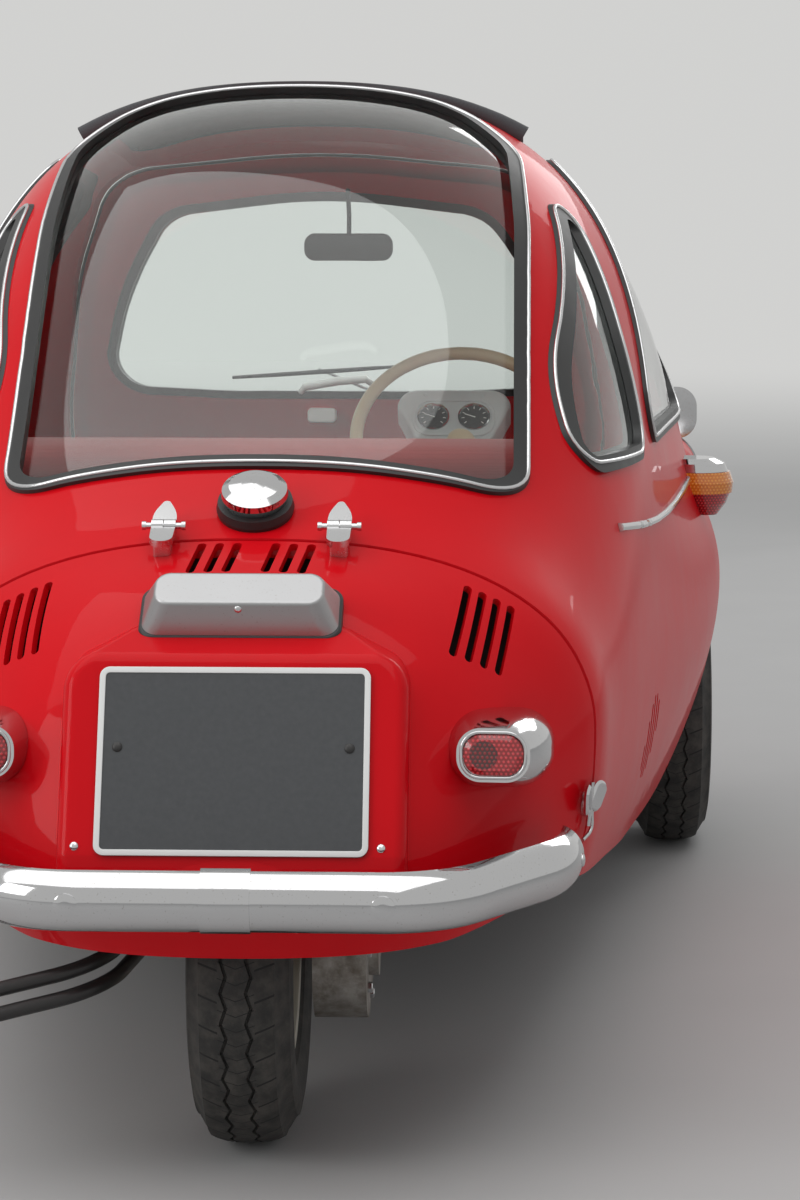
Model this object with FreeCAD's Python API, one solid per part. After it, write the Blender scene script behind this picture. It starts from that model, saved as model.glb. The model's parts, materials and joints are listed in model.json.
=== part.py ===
import FreeCAD, Part
import math
import os

os.makedirs("parts", exist_ok=True)

V = FreeCAD.Vector
X_AXIS = V(1, 0, 0)
Y_AXIS = V(0, 1, 0)
Z_AXIS = V(0, 0, 1)

# A three-wheeled bubble car. While it is modelled, Y runs forward from the
# rear axle, X to the car's right and Z up from the road. save() moves every
# piece so that the origin lies under the middle of the car.

# driving sizes of the whole car
WHEELBASE = 1760.0
FRONT_TRACK = 1220.0
MIDDLE_Y = 884.0

# body walls and gaps
BODY_WALL = 22.0
LID_WALL = 10.0
PANEL_GAP = 6.0
FIT = 0.3
LID_SEAM_Y = 20.0
SILL_Z = 235.0

# glass and its rubber
GLASS_DEPTH = 5.0
GLASS_THICKNESS = 4.0
SEAL_WIDTH = 22.0
SEAL_LIP = 7.0
SEAL_PROUD = 6.0
SEAL_TONGUE = 6.0

# wheels
TYRE_DIAMETER = 492.0
TYRE_WIDTH = 128.0
RIM_DIAMETER = 258.0
RIM_WIDTH = 96.0
HUB_BORE = 30.0
STUD_CIRCLE = 100.0
STUD_HOLE = 11.0
STUDS = 4

# one row per cross-section of the outer skin, from tail to nose
# y, half width, height of the widest line, top, bottom, upper and lower fullness,
# and how far the upper half is drawn in above the belt
SECTIONS = [
    (-312, 0, 375, 375, 375, 2.3, 2.1, 0),
    (-305, 85, 376, 405, 345, 2.3, 2.1, 0),
    (-290, 150, 378, 437, 310, 2.3, 2.1, 0),
    (-262, 215, 382, 490, 270, 2.3, 2.1, 0),
    (-225, 262, 390, 568, 235, 2.3, 2.1, 0),
    (-190, 293, 402, 630, 205, 2.3, 2.1, 0),
    (-130, 335, 430, 686, 165, 2.3, 2.1, 0),
    (-50, 385, 470, 725, 110, 2.35, 2.1, 0),
    (20, 428, 500, 752, 60, 2.4, 2.1, 0),
    (120, 450, 502, 813, 20, 2.3, 2.15, 0),
    (300, 480, 508, 968, 0, 2.25, 2.2, 0),
    (480, 511, 515, 1148, -20, 2.4, 2.25, 3),
    (660, 542, 520, 1272, -30, 2.52, 2.3, 12),
    (860, 577, 525, 1325, -40, 2.57, 2.35, 26),
    (1100, 618, 530, 1325, -40, 2.48, 2.4, 38),
    (1340, 656, 535, 1280, -30, 2.38, 2.4, 43),
    (1560, 682, 540, 1180, -10, 2.3, 2.4, 42),
    (1740, 680, 545, 1050, 20, 2.28, 2.4, 38),
    (1880, 640, 548, 915, 70, 2.3, 2.4, 26),
    (1990, 555, 550, 800, 150, 2.3, 2.35, 10),
    (2065, 440, 550, 712, 245, 2.3, 2.3, 0),
    (2110, 310, 550, 650, 345, 2.3, 2.2, 0),
    (2133, 160, 550, 600, 450, 2.2, 2.2, 0),
    (2140, 0, 550, 550, 550, 2.2, 2.2, 0),
]
RING_POINTS = 28


def save(name, shape):
    """Write one piece, moved to the car's own origin."""
    shape = shape.copy()
    shape.translate(V(0, -MIDDLE_Y, 0))
    shape.exportStep("parts/" + name + ".step")


def compound(*shapes):
    """Several solids of one node, kept apart."""
    solids = []
    for shape in shapes:
        solids.extend(shape.Solids)
    return Part.makeCompound(solids)


def mirrored(shape):
    """The same shape on the other side of the car."""
    return shape.mirror(V(0, 0, 0), X_AXIS)


def both_sides(shape):
    """A piece and its mirror image in one node."""
    return compound(shape, mirrored(shape))


def fuse(first, *others):
    """One solid out of several that overlap."""
    return first.fuse(list(others)).removeSplitter()


def signed_power(value, exponent):
    """A power that keeps the sign."""
    return math.copysign(abs(value) ** exponent, value) if abs(value) > 1e-9 else 0.0


def section_ring(row):
    """Points round one cross-section, from below the middle and back to it."""
    y, half_width, z_wide, z_top, z_bottom, n_up, n_low, waist = row
    points = []
    for step in range(RING_POINTS + 1):
        angle = -math.pi / 2 + 2 * math.pi * step / RING_POINTS
        up = math.sin(angle) >= 0
        n = n_up if up else n_low
        height = z_top - z_wide if up else z_wide - z_bottom
        across = half_width * signed_power(math.cos(angle), 2 / n)
        rise = signed_power(math.sin(angle), 2 / n)
        if 0 < rise < 0.999:
            drawn_in = waist * math.sin(math.pi * rise ** 0.55) ** 1.5
            across -= math.copysign(drawn_in, across)
        points.append(V(across, y, z_wide + height * rise))
    return points


RINGS = [section_ring(row) for row in SECTIONS]


def ring_normal(row, step):
    """Outward direction of the skin at one point of the ring grid."""
    if row == 0:
        return V(0, -1, 0)
    if row == len(RINGS) - 1:
        return V(0, 1, 0)
    along = RINGS[row + 1][step] - RINGS[row - 1][step]
    before = RINGS[row][(step - 1) % RING_POINTS]
    after = RINGS[row][(step + 1) % RING_POINTS]
    normal = (after - before).cross(along)
    normal.normalize()
    return normal * -1


SKINS = {}


def skin(depth):
    """The closed body form, shrunk by a depth below the outer skin."""
    if depth not in SKINS:
        SKINS[depth] = make_skin(depth)
    return SKINS[depth]


def make_skin(depth):
    """One smooth closed surface through the rings, moved inward by the depth."""
    grid = []
    for row, ring in enumerate(RINGS):
        grid.append([point - ring_normal(row, step) * depth for step, point in enumerate(ring)])
    surface = Part.BSplineSurface()
    surface.interpolate(grid)
    for column in range(1, surface.NbVPoles + 1):
        surface.setPole(1, column, grid[0][0])
        surface.setPole(surface.NbUPoles, column, grid[-1][0])
    for row in range(1, surface.NbUPoles + 1):
        surface.setPole(row, surface.NbVPoles, surface.getPole(row, 1))
    return Part.Solid(Part.Shell([surface.toShape()]))


def rounded(corners):
    """A closed wire of lines and corner arcs from rows of (point, radius)."""
    count = len(corners)
    edges = []
    starts = []
    ends = []
    arcs = []
    for index, (point, radius) in enumerate(corners):
        before = corners[index - 1][0]
        after = corners[(index + 1) % count][0]
        towards = (before - point).normalize()
        away = (after - point).normalize()
        half_turn = towards.getAngle(away) / 2
        reach = radius / math.tan(half_turn) if radius else 0.0
        first = point + towards * reach
        last = point + away * reach
        starts.append(first)
        ends.append(last)
        if radius:
            middle = (towards + away).normalize()
            centre = point + middle * (radius / math.sin(half_turn))
            arcs.append(Part.Arc(first, centre - middle * radius, last).toShape())
        else:
            arcs.append(None)
    for index in range(count):
        if arcs[index] is not None:
            edges.append(arcs[index])
        following = starts[(index + 1) % count]
        if (following - ends[index]).Length > 1e-6:
            edges.append(Part.makeLine(ends[index], following))
    return Part.Wire(edges)


def prism(wire, vector):
    """A solid pushed out from a closed flat wire."""
    return Part.Face(wire).extrude(vector)


def outline_wire(rows, place, grow=0.0):
    """A rounded outline of (u, v, radius) rows, grown or shrunk, set in space by place(u, v)."""
    flat = rounded([(V(u, v, 0), radius) for u, v, radius in rows])
    if grow:
        flat = flat.makeOffset2D(grow)
    flat.Placement = place
    return flat


def mirror_rows(rows):
    """A half outline, listed from bottom to top at +u, made whole about u = 0."""
    return rows + [(-u, v, radius) for u, v, radius in reversed(rows) if u > 0]


# views in which outlines are drawn: u, v and the direction of the cut
FRONT_VIEW = FreeCAD.Placement(V(0, 0, 0), FreeCAD.Rotation(X_AXIS, 90))
SIDE_VIEW = FreeCAD.Placement(V(0, 0, 0), FreeCAD.Rotation(Z_AXIS, 90).multiply(FreeCAD.Rotation(X_AXIS, 90)))


def cylinder(radius, length, start, direction):
    """A round bar from a start point."""
    return Part.makeCylinder(radius, length, start, direction)


def ball(radius, centre):
    return Part.makeSphere(radius, centre)


def box(x0, x1, y0, y1, z0, z1):
    """A block between two corners."""
    return Part.makeBox(x1 - x0, y1 - y0, z1 - z0, V(x0, y0, z0))


def revolve_x(rows, centre):
    """A ring about a line along X from a rounded outline of (x, radius, corner)."""
    wire = rounded([(V(x, 0, r), corner) for x, r, corner in rows])
    solid = Part.Face(wire).revolve(V(0, 0, 0), X_AXIS, 360)
    solid.translate(centre)
    return solid


def revolve_about(rows, base, direction):
    """A solid of revolution from (distance along, radius) rows about any line."""
    points = [V(r, 0, along) for along, r in rows]
    wire = Part.makePolygon(points + [points[0]])
    solid = Part.Face(wire).revolve(V(0, 0, 0), Z_AXIS, 360)
    solid.Placement = FreeCAD.Placement(base, FreeCAD.Rotation(Z_AXIS, direction))
    return solid


# the body skins that the panels are cut from
OUTER = skin(0)
INNER = skin(BODY_WALL)
LID_INNER = skin(LID_WALL)
SEATED = skin(-FIT)

# everything below the sill line is open
SILL_LINE = [(-500, 292), (-200, 300), (20, 326), (200, 300), (600, 248), (931, SILL_Z), (2300, SILL_Z)]


def below_sill():
    """A block under the sill line, to be cut away."""
    points = [V(-1000, y, z) for y, z in SILL_LINE]
    points += [V(-1000, 2300, -300), V(-1000, -500, -300)]
    return prism(Part.makePolygon(points + [points[0]]), X_AXIS * 2000)


BELOW_SILL = below_sill()

# outlines of the openings
REAR_WINDOW_SLOPE = 36.0
REAR_WINDOW_START = V(0, 122, 818)
REAR_WINDOW = mirror_rows([
    (200, 18, 900), (346, 28, 78), (346, 560, 900), (334, 770, 120), (240, 890, 160), (0, 930, 700)])
DOOR = mirror_rows([
    (435, 388, 110), (512, 690, 500), (440, 1020, 500), (345, 1205, 130), (0, 1240, 1200)])
WINDSCREEN = mirror_rows([
    (200, 772, 900), (448, 790, 80), (385, 1000, 600), (285, 1150, 110), (0, 1185, 900)])
SIDE_WINDOW = [(742, 803, 60), (1725, 783, 80), (1385, 1150, 120), (1250, 1205, 250), (985, 1226, 60)]
QUARTER_WINDOW = [(318, 800, 40), (640, 798, 55), (676, 960, 300), (800, 1235, 36), (400, 935, 400)]


def rear_window_place():
    """The plane of the rear window: u to the right, v up the slope."""
    turn = FreeCAD.Rotation(X_AXIS, REAR_WINDOW_SLOPE)
    return FreeCAD.Placement(REAR_WINDOW_START, turn)


def rear_window_tool(grow):
    """A block through the rear window, square to its slope."""
    wire = outline_wire(REAR_WINDOW, rear_window_place(), grow)
    normal = FreeCAD.Rotation(X_AXIS, REAR_WINDOW_SLOPE).multVec(Z_AXIS)
    wire.translate(normal * -260)
    return prism(wire, normal * 700)


def front_tool(rows, grow, y_from=1150, y_to=2300):
    """A block through an outline seen from the front."""
    wire = outline_wire(rows, FRONT_VIEW, grow)
    wire.translate(V(0, y_from, 0))
    return prism(wire, Y_AXIS * (y_to - y_from))


def side_tool(rows, grow):
    """A block through an outline on the right-hand side."""
    wire = outline_wire(rows, SIDE_VIEW, grow)
    wire.translate(V(150, 0, 0))
    return prism(wire, X_AXIS * 700)


def glass(tool):
    """The pane that lies in an opening, given a block grown for it."""
    return tool.common(skin(GLASS_DEPTH)).cut(skin(GLASS_DEPTH + GLASS_THICKNESS))


def seal(make_tool):
    """The rubber ring round an opening: an outer lip, a groove for the pane and a flush inner face."""
    ring = skin(-SEAL_PROUD).common(make_tool(0)).cut(INNER).cut(make_tool(-SEAL_WIDTH))
    wall = make_tool(10).cut(make_tool(-SEAL_LIP - FIT)).common(SEATED)
    groove = make_tool(-SEAL_WIDTH + SEAL_TONGUE + FIT).common(skin(GLASS_DEPTH - FIT))
    groove = groove.cut(skin(GLASS_DEPTH + GLASS_THICKNESS + FIT))
    return ring.cut([wall, groove])


# tail lid with its raised plate panel
POD_HALF_WIDTH = 203.0
POD_FACE_LOW = (-299.5, 422)
POD_FACE_TOP = (-212, 640)
POD_PROFILE = [
    (-90, 560, 0), (-90, 690, 0), (-150, 668, 30), POD_FACE_TOP + (22,), POD_FACE_LOW + (12,),
    (-305, 395, 0), (-120, 395, 0)]
POD_SHOULDER = (120, 668)
POD_EDGE_RADIUS = 16.0
SLOT_WIDTH = 11.0
SIDE_SLOTS = 4
TOP_SLOTS = 3
RIGHT_SLOTS = [(V(250, -112, 628), V(268, -14, 694)), (V(306, -90, 604), V(322, -10, 670))]
LEFT_SLOTS = [(V(-306, -90, 606), V(-299, -16, 672)), (V(-250, -113, 628), V(-246, -20, 694))]
TOP_SLOT_GROUPS = [-48.0, 44.0]
TOP_SLOT_PITCH = 22.0
TOP_SLOT_Y = (-56.0, 4.0)
TOP_SLOT_LEAN = 9.0


def plate_pod(inset):
    """The flat raised panel that carries the number plate, with sloping shoulders."""
    half = POD_HALF_WIDTH - inset
    wire = rounded([(V(0, y, z), radius) for y, z, radius in POD_PROFILE])
    solid = prism(wire, X_AXIS * 2 * half)
    solid.translate(V(-half, inset, 0))
    x, top = POD_SHOULDER
    outline = [(V(-half, -80, 300), 0), (V(half, -80, 300), 0), (V(half, -80, top - 42), 45), (V(x, -80, top), 60),
               (V(-x, -80, top), 60), (V(-half, -80, top - 42), 45)]
    solid = solid.common(prism(rounded(outline), Y_AXIS * -300))
    edges = []
    for edge in solid.Edges:
        middle = edge.CenterOfMass
        reach = edge.BoundBox
        crosses = reach.XLength > 0.01 or abs(reach.ZLength) > 0.01
        if crosses and reach.YLength > 0.5 and middle.y < -100 + inset and middle.z > 400:
            edges.append(edge)
    return solid.makeFillet(POD_EDGE_RADIUS - inset, edges)


def slot(bottom, top, outward, width, reach):
    """A round-ended cutter between two points of the skin."""
    along = (top - bottom)
    length = along.Length
    along.normalize()
    outward = (outward - along * outward.dot(along)).normalize()
    across = outward.cross(along)
    half = width / 2
    wire = rounded([
        (V(-half, -half, 0), half * 0.999), (V(half, -half, 0), half * 0.999),
        (V(half, length + half, 0), half * 0.999), (V(-half, length + half, 0), half * 0.999)])
    cutter = prism(wire, Z_AXIS * 2 * reach)
    turn = FreeCAD.Rotation(across, along, outward, "ZYX")
    cutter.Placement = FreeCAD.Placement(bottom - outward * reach, turn)
    return cutter


def between(first, last, share):
    return first + (last - first) * share


def lid_slots():
    """Cooling slots: a slanted group on each side and two small groups on top."""
    cutters = []
    for rows, side in ((RIGHT_SLOTS, 1), (LEFT_SLOTS, -1)):
        for index in range(SIDE_SLOTS):
            share = index / (SIDE_SLOTS - 1)
            bottom = between(rows[0][0], rows[1][0], share)
            top = between(rows[0][1], rows[1][1], share)
            cutters.append(slot(bottom, top, V(0.45 * side, -0.55, 0.7), SLOT_WIDTH, 24))
    for middle in TOP_SLOT_GROUPS:
        for index in range(TOP_SLOTS):
            x = middle + (index - (TOP_SLOTS - 1) / 2) * TOP_SLOT_PITCH
            bottom = V(x, TOP_SLOT_Y[0], 722)
            top = V(x + TOP_SLOT_LEAN, TOP_SLOT_Y[1], 746)
            cutters.append(slot(bottom, top, V(0, -0.35, 0.93), SLOT_WIDTH, 22))
    return cutters


def tail_lid():
    """The whole tail, which hinges up: skin, plate panel and slots."""
    tail_space = box(-900, 900, -900, LID_SEAM_Y - PANEL_GAP, 0, 1200)
    lid = fuse(OUTER.common(tail_space), plate_pod(0)).cut(BELOW_SILL)
    lid = lid.cut(LID_INNER).cut(plate_pod(LID_WALL))
    return lid.cut(lid_slots())


# the main body shell
WHEEL_ARCH_RADIUS = 300.0
WHEEL_ARCH_Z = 225.0
SIDE_SLOTS_FRONT = 6
SUNROOF = [(-318, 985, 70), (318, 985, 70), (300, 1341, 60), (-300, 1341, 60)]
WHEEL_Z = TYRE_DIAMETER / 2
TRACK_X = FRONT_TRACK / 2


def side_grille_cutters():
    """Upright slots low on the flank, whose ends follow a slanted oval."""
    cutters = []
    for index in range(SIDE_SLOTS_FRONT):
        share = index / (SIDE_SLOTS_FRONT - 1)
        y = 520 + 115 * share
        low = 330 + 36 * share + 34 * (2 * share - 1) ** 2
        high = 415 + 46 * share - 34 * (2 * share - 1) ** 2 + 20
        wire = rounded([
            (V(300, y - 6, low), 5.9), (V(300, y + 6, low), 5.9),
            (V(300, y + 6, high), 5.9), (V(300, y - 6, high), 5.9)])
        cutter = prism(wire, X_AXIS * 400)
        cutters += [cutter, mirrored(cutter)]
    return cutters


def body_shell():
    """The fixed skin between the tail seam and the front door opening."""
    cutters = [box(-900, 900, -900, LID_SEAM_Y, 0, 1200)]
    cutters += [rear_window_tool(-SEAL_LIP), front_tool(DOOR, PANEL_GAP / 2)]
    for rows in (SIDE_WINDOW, QUARTER_WINDOW):
        tool = side_tool(rows, -SEAL_LIP)
        cutters += [tool, mirrored(tool)]
    arch = cylinder(WHEEL_ARCH_RADIUS, 500, V(350, WHEELBASE, WHEEL_ARCH_Z), X_AXIS)
    cutters += [arch, mirrored(arch)]
    sunroof = rounded([(V(x, y, 1100), radius) for x, y, radius in SUNROOF])
    cutters.append(prism(sunroof, Z_AXIS * 400))
    return OUTER.cut(BELOW_SILL).cut(INNER).cut(cutters + side_grille_cutters())


# cabin floor, wheel boxes and rear bulkhead
FLOOR_Z = 240.0
FLOOR_THICKNESS = 8.0
BULKHEAD_Y = 440.0
BULKHEAD_THICKNESS = 12.0
SHELF_Z = 780.0
WHEEL_BOX_X = 398.0
WHEEL_BOX_WALL = 6.0
WHEEL_BOX_TOP = 552.0
WHEEL_BOX_Y = (1440.0, 2052.0)
FLOOR_FRONT_Y = 2052.0


def floor_pan():
    """The flat floor with a closed box over each front wheel."""
    inside = skin(BODY_WALL + FIT)
    y0, y1 = WHEEL_BOX_Y
    floor = box(-700, 700, BULKHEAD_Y, FLOOR_FRONT_Y, FLOOR_Z, FLOOR_Z + FLOOR_THICKNESS)
    housing = box(WHEEL_BOX_X, 760, y0, y1, FLOOR_Z, WHEEL_BOX_TOP)
    hollow = box(WHEEL_BOX_X + WHEEL_BOX_WALL, 800, y0 + WHEEL_BOX_WALL, y1 - WHEEL_BOX_WALL,
                 FLOOR_Z - 50, WHEEL_BOX_TOP - WHEEL_BOX_WALL)
    solid = fuse(floor, housing, mirrored(housing))
    solid = solid.cut(hollow).cut(mirrored(hollow))
    return solid.common(inside)


def rear_bulkhead():
    """The wall behind the seat with the shelf over the engine."""
    inside = skin(BODY_WALL + FIT)
    wall = box(-700, 700, BULKHEAD_Y - BULKHEAD_THICKNESS, BULKHEAD_Y - FIT, FLOOR_Z, SHELF_Z)
    shelf = box(-700, 700, 150, BULKHEAD_Y - FIT, SHELF_Z - BULKHEAD_THICKNESS, SHELF_Z)
    return fuse(wall, shelf).common(inside)


# glazing
PANE_GROW = -SEAL_WIDTH + SEAL_TONGUE


def windscreen_tool(grow):
    return front_tool(WINDSCREEN, grow)


def side_window_tool(grow):
    return side_tool(SIDE_WINDOW, grow)


def quarter_window_tool(grow):
    return side_tool(QUARTER_WINDOW, grow)


# front door with a thin outer lip that closes over the opening
DOOR_LIP = 5.0
DOOR_STEP = 26.0


def front_door():
    """The whole front of the car, hinged on its right-hand side."""
    door = OUTER.common(front_tool(DOOR, -PANEL_GAP / 2)).cut(INNER)
    step = front_tool(DOOR, 40).cut(front_tool(DOOR, -PANEL_GAP / 2 - DOOR_STEP))
    door = door.cut(skin(DOOR_LIP).common(step))
    return door.cut(windscreen_tool(-SEAL_LIP))


# hinge line of the front door, outside the skin on the right
DOOR_HINGE_FOOT = V(534, 2050, 440)
DOOR_HINGE_TOP = V(534, 1990, 700)
DOOR_HINGE_HEIGHTS = [0.08, 0.40]
HINGE_PIN = 5.0
HINGE_KNUCKLE = 9.0


# wheels
def tyre(centre):
    """A tyre with a rounded crown and bulging walls."""
    half = TYRE_WIDTH / 2
    outer = TYRE_DIAMETER / 2
    bead = RIM_DIAMETER / 2
    seat = RIM_WIDTH / 2
    return revolve_x([
        (-seat, bead, 3), (seat, bead, 3), (seat, bead + 15, 6), (half, bead + 50, 24), (half - 6, outer - 14, 16),
        (half - 24, outer, 30), (-half + 24, outer, 30), (-half + 6, outer - 14, 16),
        (-half, bead + 50, 24), (-seat, bead + 15, 6)], centre)


def wheel_rim(centre, side):
    """A pressed steel wheel: rim well, dished disc and hub."""
    seat = RIM_WIDTH / 2
    bead = RIM_DIAMETER / 2 - FIT
    rows = [
        (-seat - FIT, bead, 0), (-seat - FIT, bead + 10, 0), (-seat - 4, bead + 10, 0), (-seat - 4, bead - 5, 3),
        (-20, bead - 22, 6), (8, bead - 24, 6), (26, 74, 10), (10, 58, 8), (10, HUB_BORE / 2, 0),
        (22, HUB_BORE / 2, 0), (22, 58, 6), (36, 76, 10), (20, bead - 16, 4), (seat + 4, bead - 4, 3),
        (seat + 4, bead + 10, 0), (seat + FIT, bead + 10, 0), (seat + FIT, bead, 0), (10, bead, 4),
        (0, bead - 14, 4), (-10, bead, 4)]
    rim = revolve_x(rows, V(0, 0, 0))
    for index in range(STUDS):
        angle = 2 * math.pi * (index + 0.5) / STUDS
        radius = STUD_CIRCLE / 2
        rim = rim.cut(cylinder(STUD_HOLE / 2, 60, V(-10, radius * math.cos(angle), radius * math.sin(angle)), X_AXIS))
    if side < 0:
        rim = mirrored(rim)
    rim.translate(centre)
    return rim


def hub_cap(centre, side):
    """A domed cap over the hub."""
    cap = revolve_about([(36.4, 0), (36.4, 76), (44, 70), (52, 50), (57, 24), (58, 0)], V(0, 0, 0), X_AXIS)
    if side < 0:
        cap = mirrored(cap)
    cap.translate(centre)
    return cap


REAR_WHEEL = V(0, 0, WHEEL_Z)
RIGHT_WHEEL = V(TRACK_X, WHEELBASE, WHEEL_Z)
LEFT_WHEEL = V(-TRACK_X, WHEELBASE, WHEEL_Z)


# front axle and steering
KINGPIN_X = 540.0
KINGPIN_RADIUS = 14.0
KINGPIN_EYE = 22.0
STUB_RADIUS = 14.5
STUB_REACH = 32.0
AXLE_TUBE_RADIUS = 26.0
AXLE_TUBE_BACK = 150.0
AXLE_TUBE_HALF = 400.0
AXLE_TUBE_Z = 205.0
AXLE_ARM_RADIUS = 18.0
STEERING_ARM = 85.0
RUNNING_FIT = 0.5


def front_axle():
    """A cross tube with an arm out and forward to each kingpin."""
    tube_y = WHEELBASE - AXLE_TUBE_BACK
    tube = cylinder(AXLE_TUBE_RADIUS, 2 * AXLE_TUBE_HALF, V(-AXLE_TUBE_HALF, tube_y, AXLE_TUBE_Z), X_AXIS)
    parts = []
    for side in (1, -1):
        x = side * KINGPIN_X
        elbow = V(side * (AXLE_TUBE_HALF - 20), tube_y, AXLE_TUBE_Z)
        arm_run = V(x - side * 18, WHEELBASE - 16, WHEEL_Z) - elbow
        arm = cylinder(AXLE_ARM_RADIUS, arm_run.Length, elbow, arm_run)
        pin = cylinder(KINGPIN_RADIUS, 176, V(x, WHEELBASE, WHEEL_Z - 88), Z_AXIS)
        boss = cylinder(KINGPIN_EYE, 84, V(x, WHEELBASE, WHEEL_Z - 42), Z_AXIS)
        parts += [arm, pin, boss]
    mounts = []
    for side in (1, -1):
        x = side * 300
        mounts.append(box(x - 30, x + 30, tube_y - 20, tube_y + 20, AXLE_TUBE_Z, FLOOR_Z - FIT))
    return fuse(tube, *(parts + mounts))


def knuckle(side):
    """Two eyes on the kingpin, an upright, the stub axle and the steering arm."""
    x = KINGPIN_X
    eyes = []
    for z in (WHEEL_Z - 84, WHEEL_Z + 44):
        eyes.append(cylinder(KINGPIN_EYE, 36, V(x, WHEELBASE, z), Z_AXIS))
        eyes.append(box(x, x + 40, WHEELBASE - 16, WHEELBASE + 16, z, z + 36))
    upright = box(x + 26, x + 42, WHEELBASE - 24, WHEELBASE + 24, WHEEL_Z - 84, WHEEL_Z + 80)
    stub = cylinder(STUB_RADIUS, TRACK_X + STUB_REACH - x - 40, V(x + 40, WHEELBASE, WHEEL_Z), X_AXIS)
    arm = box(x - 10, x + 10, WHEELBASE - STEERING_ARM, WHEELBASE - 10, WHEEL_Z - 84, WHEEL_Z - 70)
    tip = cylinder(11, 14, V(x, WHEELBASE - STEERING_ARM, WHEEL_Z - 84), Z_AXIS)
    solid = fuse(eyes[0], *(eyes[1:] + [upright, stub, arm, tip]))
    solid = solid.cut(cylinder(KINGPIN_RADIUS + RUNNING_FIT, 300, V(x, WHEELBASE, WHEEL_Z - 150), Z_AXIS))
    solid = solid.cut(cylinder(6 + RUNNING_FIT, 60, V(x, WHEELBASE - STEERING_ARM, WHEEL_Z - 100), Z_AXIS))
    return solid if side > 0 else mirrored(solid)


def tie_rod():
    """The rod between the two steering arms, with its end pins."""
    y = WHEELBASE - STEERING_ARM
    z = WHEEL_Z - 100
    rod = cylinder(8, 2 * KINGPIN_X, V(-KINGPIN_X, y, z), X_AXIS)
    parts = []
    for side in (1, -1):
        x = side * KINGPIN_X
        parts.append(cylinder(10, 15.5, V(x, y, z), Z_AXIS))
        parts.append(cylinder(6, 38, V(x, y, z), Z_AXIS))
    return fuse(rod, *parts)


# bumpers
BUMPER_HEIGHT = 71.0
BUMPER_DEPTH = 26.0
BUMPER_SHEET = 4.0
REAR_BUMPER_Z = 383.0
FRONT_BUMPER_Z = 325.0
REAR_BUMPER_PATH = [(398, -100, 0), (392, -175, 150), (250, -372, 150)]
FRONT_BUMPER_PATH = [(578, 2035, 0), (470, 2100, 350), (250, 2140, 500)]
SLEEVE_WIDTH = 57.0
BRACKET_X = 179.0
BRACKET_RADIUS = 11.0


def bumper_profile(extra):
    """A shallow bowl section in the Y-Z plane, open to the car, bulging to -Y."""
    half = BUMPER_HEIGHT / 2 + extra
    depth = BUMPER_DEPTH / 2 + extra
    outer = Part.Arc(V(0, depth, -half), V(0, -depth, 0), V(0, depth, half)).toShape()
    inner_half = half - BUMPER_SHEET
    inner_depth = depth - BUMPER_SHEET
    inner = Part.Arc(V(0, depth, inner_half), V(0, -inner_depth, 0), V(0, depth, -inner_half)).toShape()
    top = Part.makeLine(V(0, depth, half), V(0, depth, inner_half))
    bottom = Part.makeLine(V(0, depth, -inner_half), V(0, depth, -half))
    return Part.Wire([outer, top, inner, bottom])


def path_wire(points):
    """An open path of straight runs joined by tangent arcs, from (point, radius) rows."""
    edges = []
    last = points[0][0]
    for index in range(1, len(points) - 1):
        point, radius = points[index]
        towards = (points[index - 1][0] - point).normalize()
        away = (points[index + 1][0] - point).normalize()
        half_turn = towards.getAngle(away) / 2
        reach = radius / math.tan(half_turn)
        middle = (towards + away).normalize()
        centre = point + middle * (radius / math.sin(half_turn))
        first = point + towards * reach
        end = point + away * reach
        edges.append(Part.makeLine(last, first))
        edges.append(Part.Arc(first, centre - middle * radius, end).toShape())
        last = end
    edges.append(Part.makeLine(last, points[-1][0]))
    return Part.Wire(edges)


def bumper(rows, z, facing):
    """A bar that wraps round one end of the car, with a sleeve over its middle and two brackets."""
    middle_y = rows[-1][1]
    profile = bumper_profile(0)
    sleeve_profile = bumper_profile(2.5)
    turn = FreeCAD.Rotation(Z_AXIS, 0 if facing < 0 else 180)
    profile.Placement = FreeCAD.Placement(V(0, middle_y, z), turn)
    sleeve_profile.Placement = FreeCAD.Placement(V(-SLEEVE_WIDTH / 2, middle_y, z), turn)
    # the sweep starts at the middle and runs to each end
    halves = []
    for side in (1, -1):
        run = path_wire([(V(0, middle_y, z), 0)] + [(V(side * x, y, z), radius) for x, y, radius in reversed(rows)])
        halves.append(sweep(run, profile))
    bar = fuse(halves[0], halves[1])
    sleeve = prism(sleeve_profile, X_AXIS * SLEEVE_WIDTH)
    brackets = []
    for side in (1, -1):
        start = V(side * BRACKET_X, middle_y - facing * 200, z)
        reach = 200 + BUMPER_DEPTH / 2 - BUMPER_SHEET
        brackets.append(cylinder(BRACKET_RADIUS, reach, start, V(0, facing, 0)).cut(SEATED))
    return fuse(bar, sleeve, *brackets)


def sweep(path, profile):
    """A solid pulled along a path."""
    shell = Part.BRepOffsetAPI.MakePipeShell(path)
    shell.setFrenetMode(False)
    shell.add(profile)
    shell.build()
    shell.makeSolid()
    return shell.shape()


# lamps
HEADLAMP = V(600, 2004, 648)
HEADLAMP_RADIUS = 70.0
TAIL_LAMP = V(310, -120, 520)
TAIL_LAMP_OUT = V(-9, -125, 11).normalize()
# distance along, half width and half height of the tail lamp's chrome housing
TAIL_BEZEL = [(0, 64, 46), (50, 61, 44), (95, 52, 38), (123, 43, 31.5)]
TAIL_LENS_AT = 117.0
TAIL_LENS = (36.0, 25.0)


def headlamp_pod(side=1):
    """A bullet-shaped lamp body that grows out of the wing."""
    rows = [(-300, 0), (-292, 18), (-225, 42), (-110, 64), (0, HEADLAMP_RADIUS), (0, 0)]
    pod = revolve_about(rows, HEADLAMP, Y_AXIS)
    return largest(pod.cut(SEATED), HEADLAMP)


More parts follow.
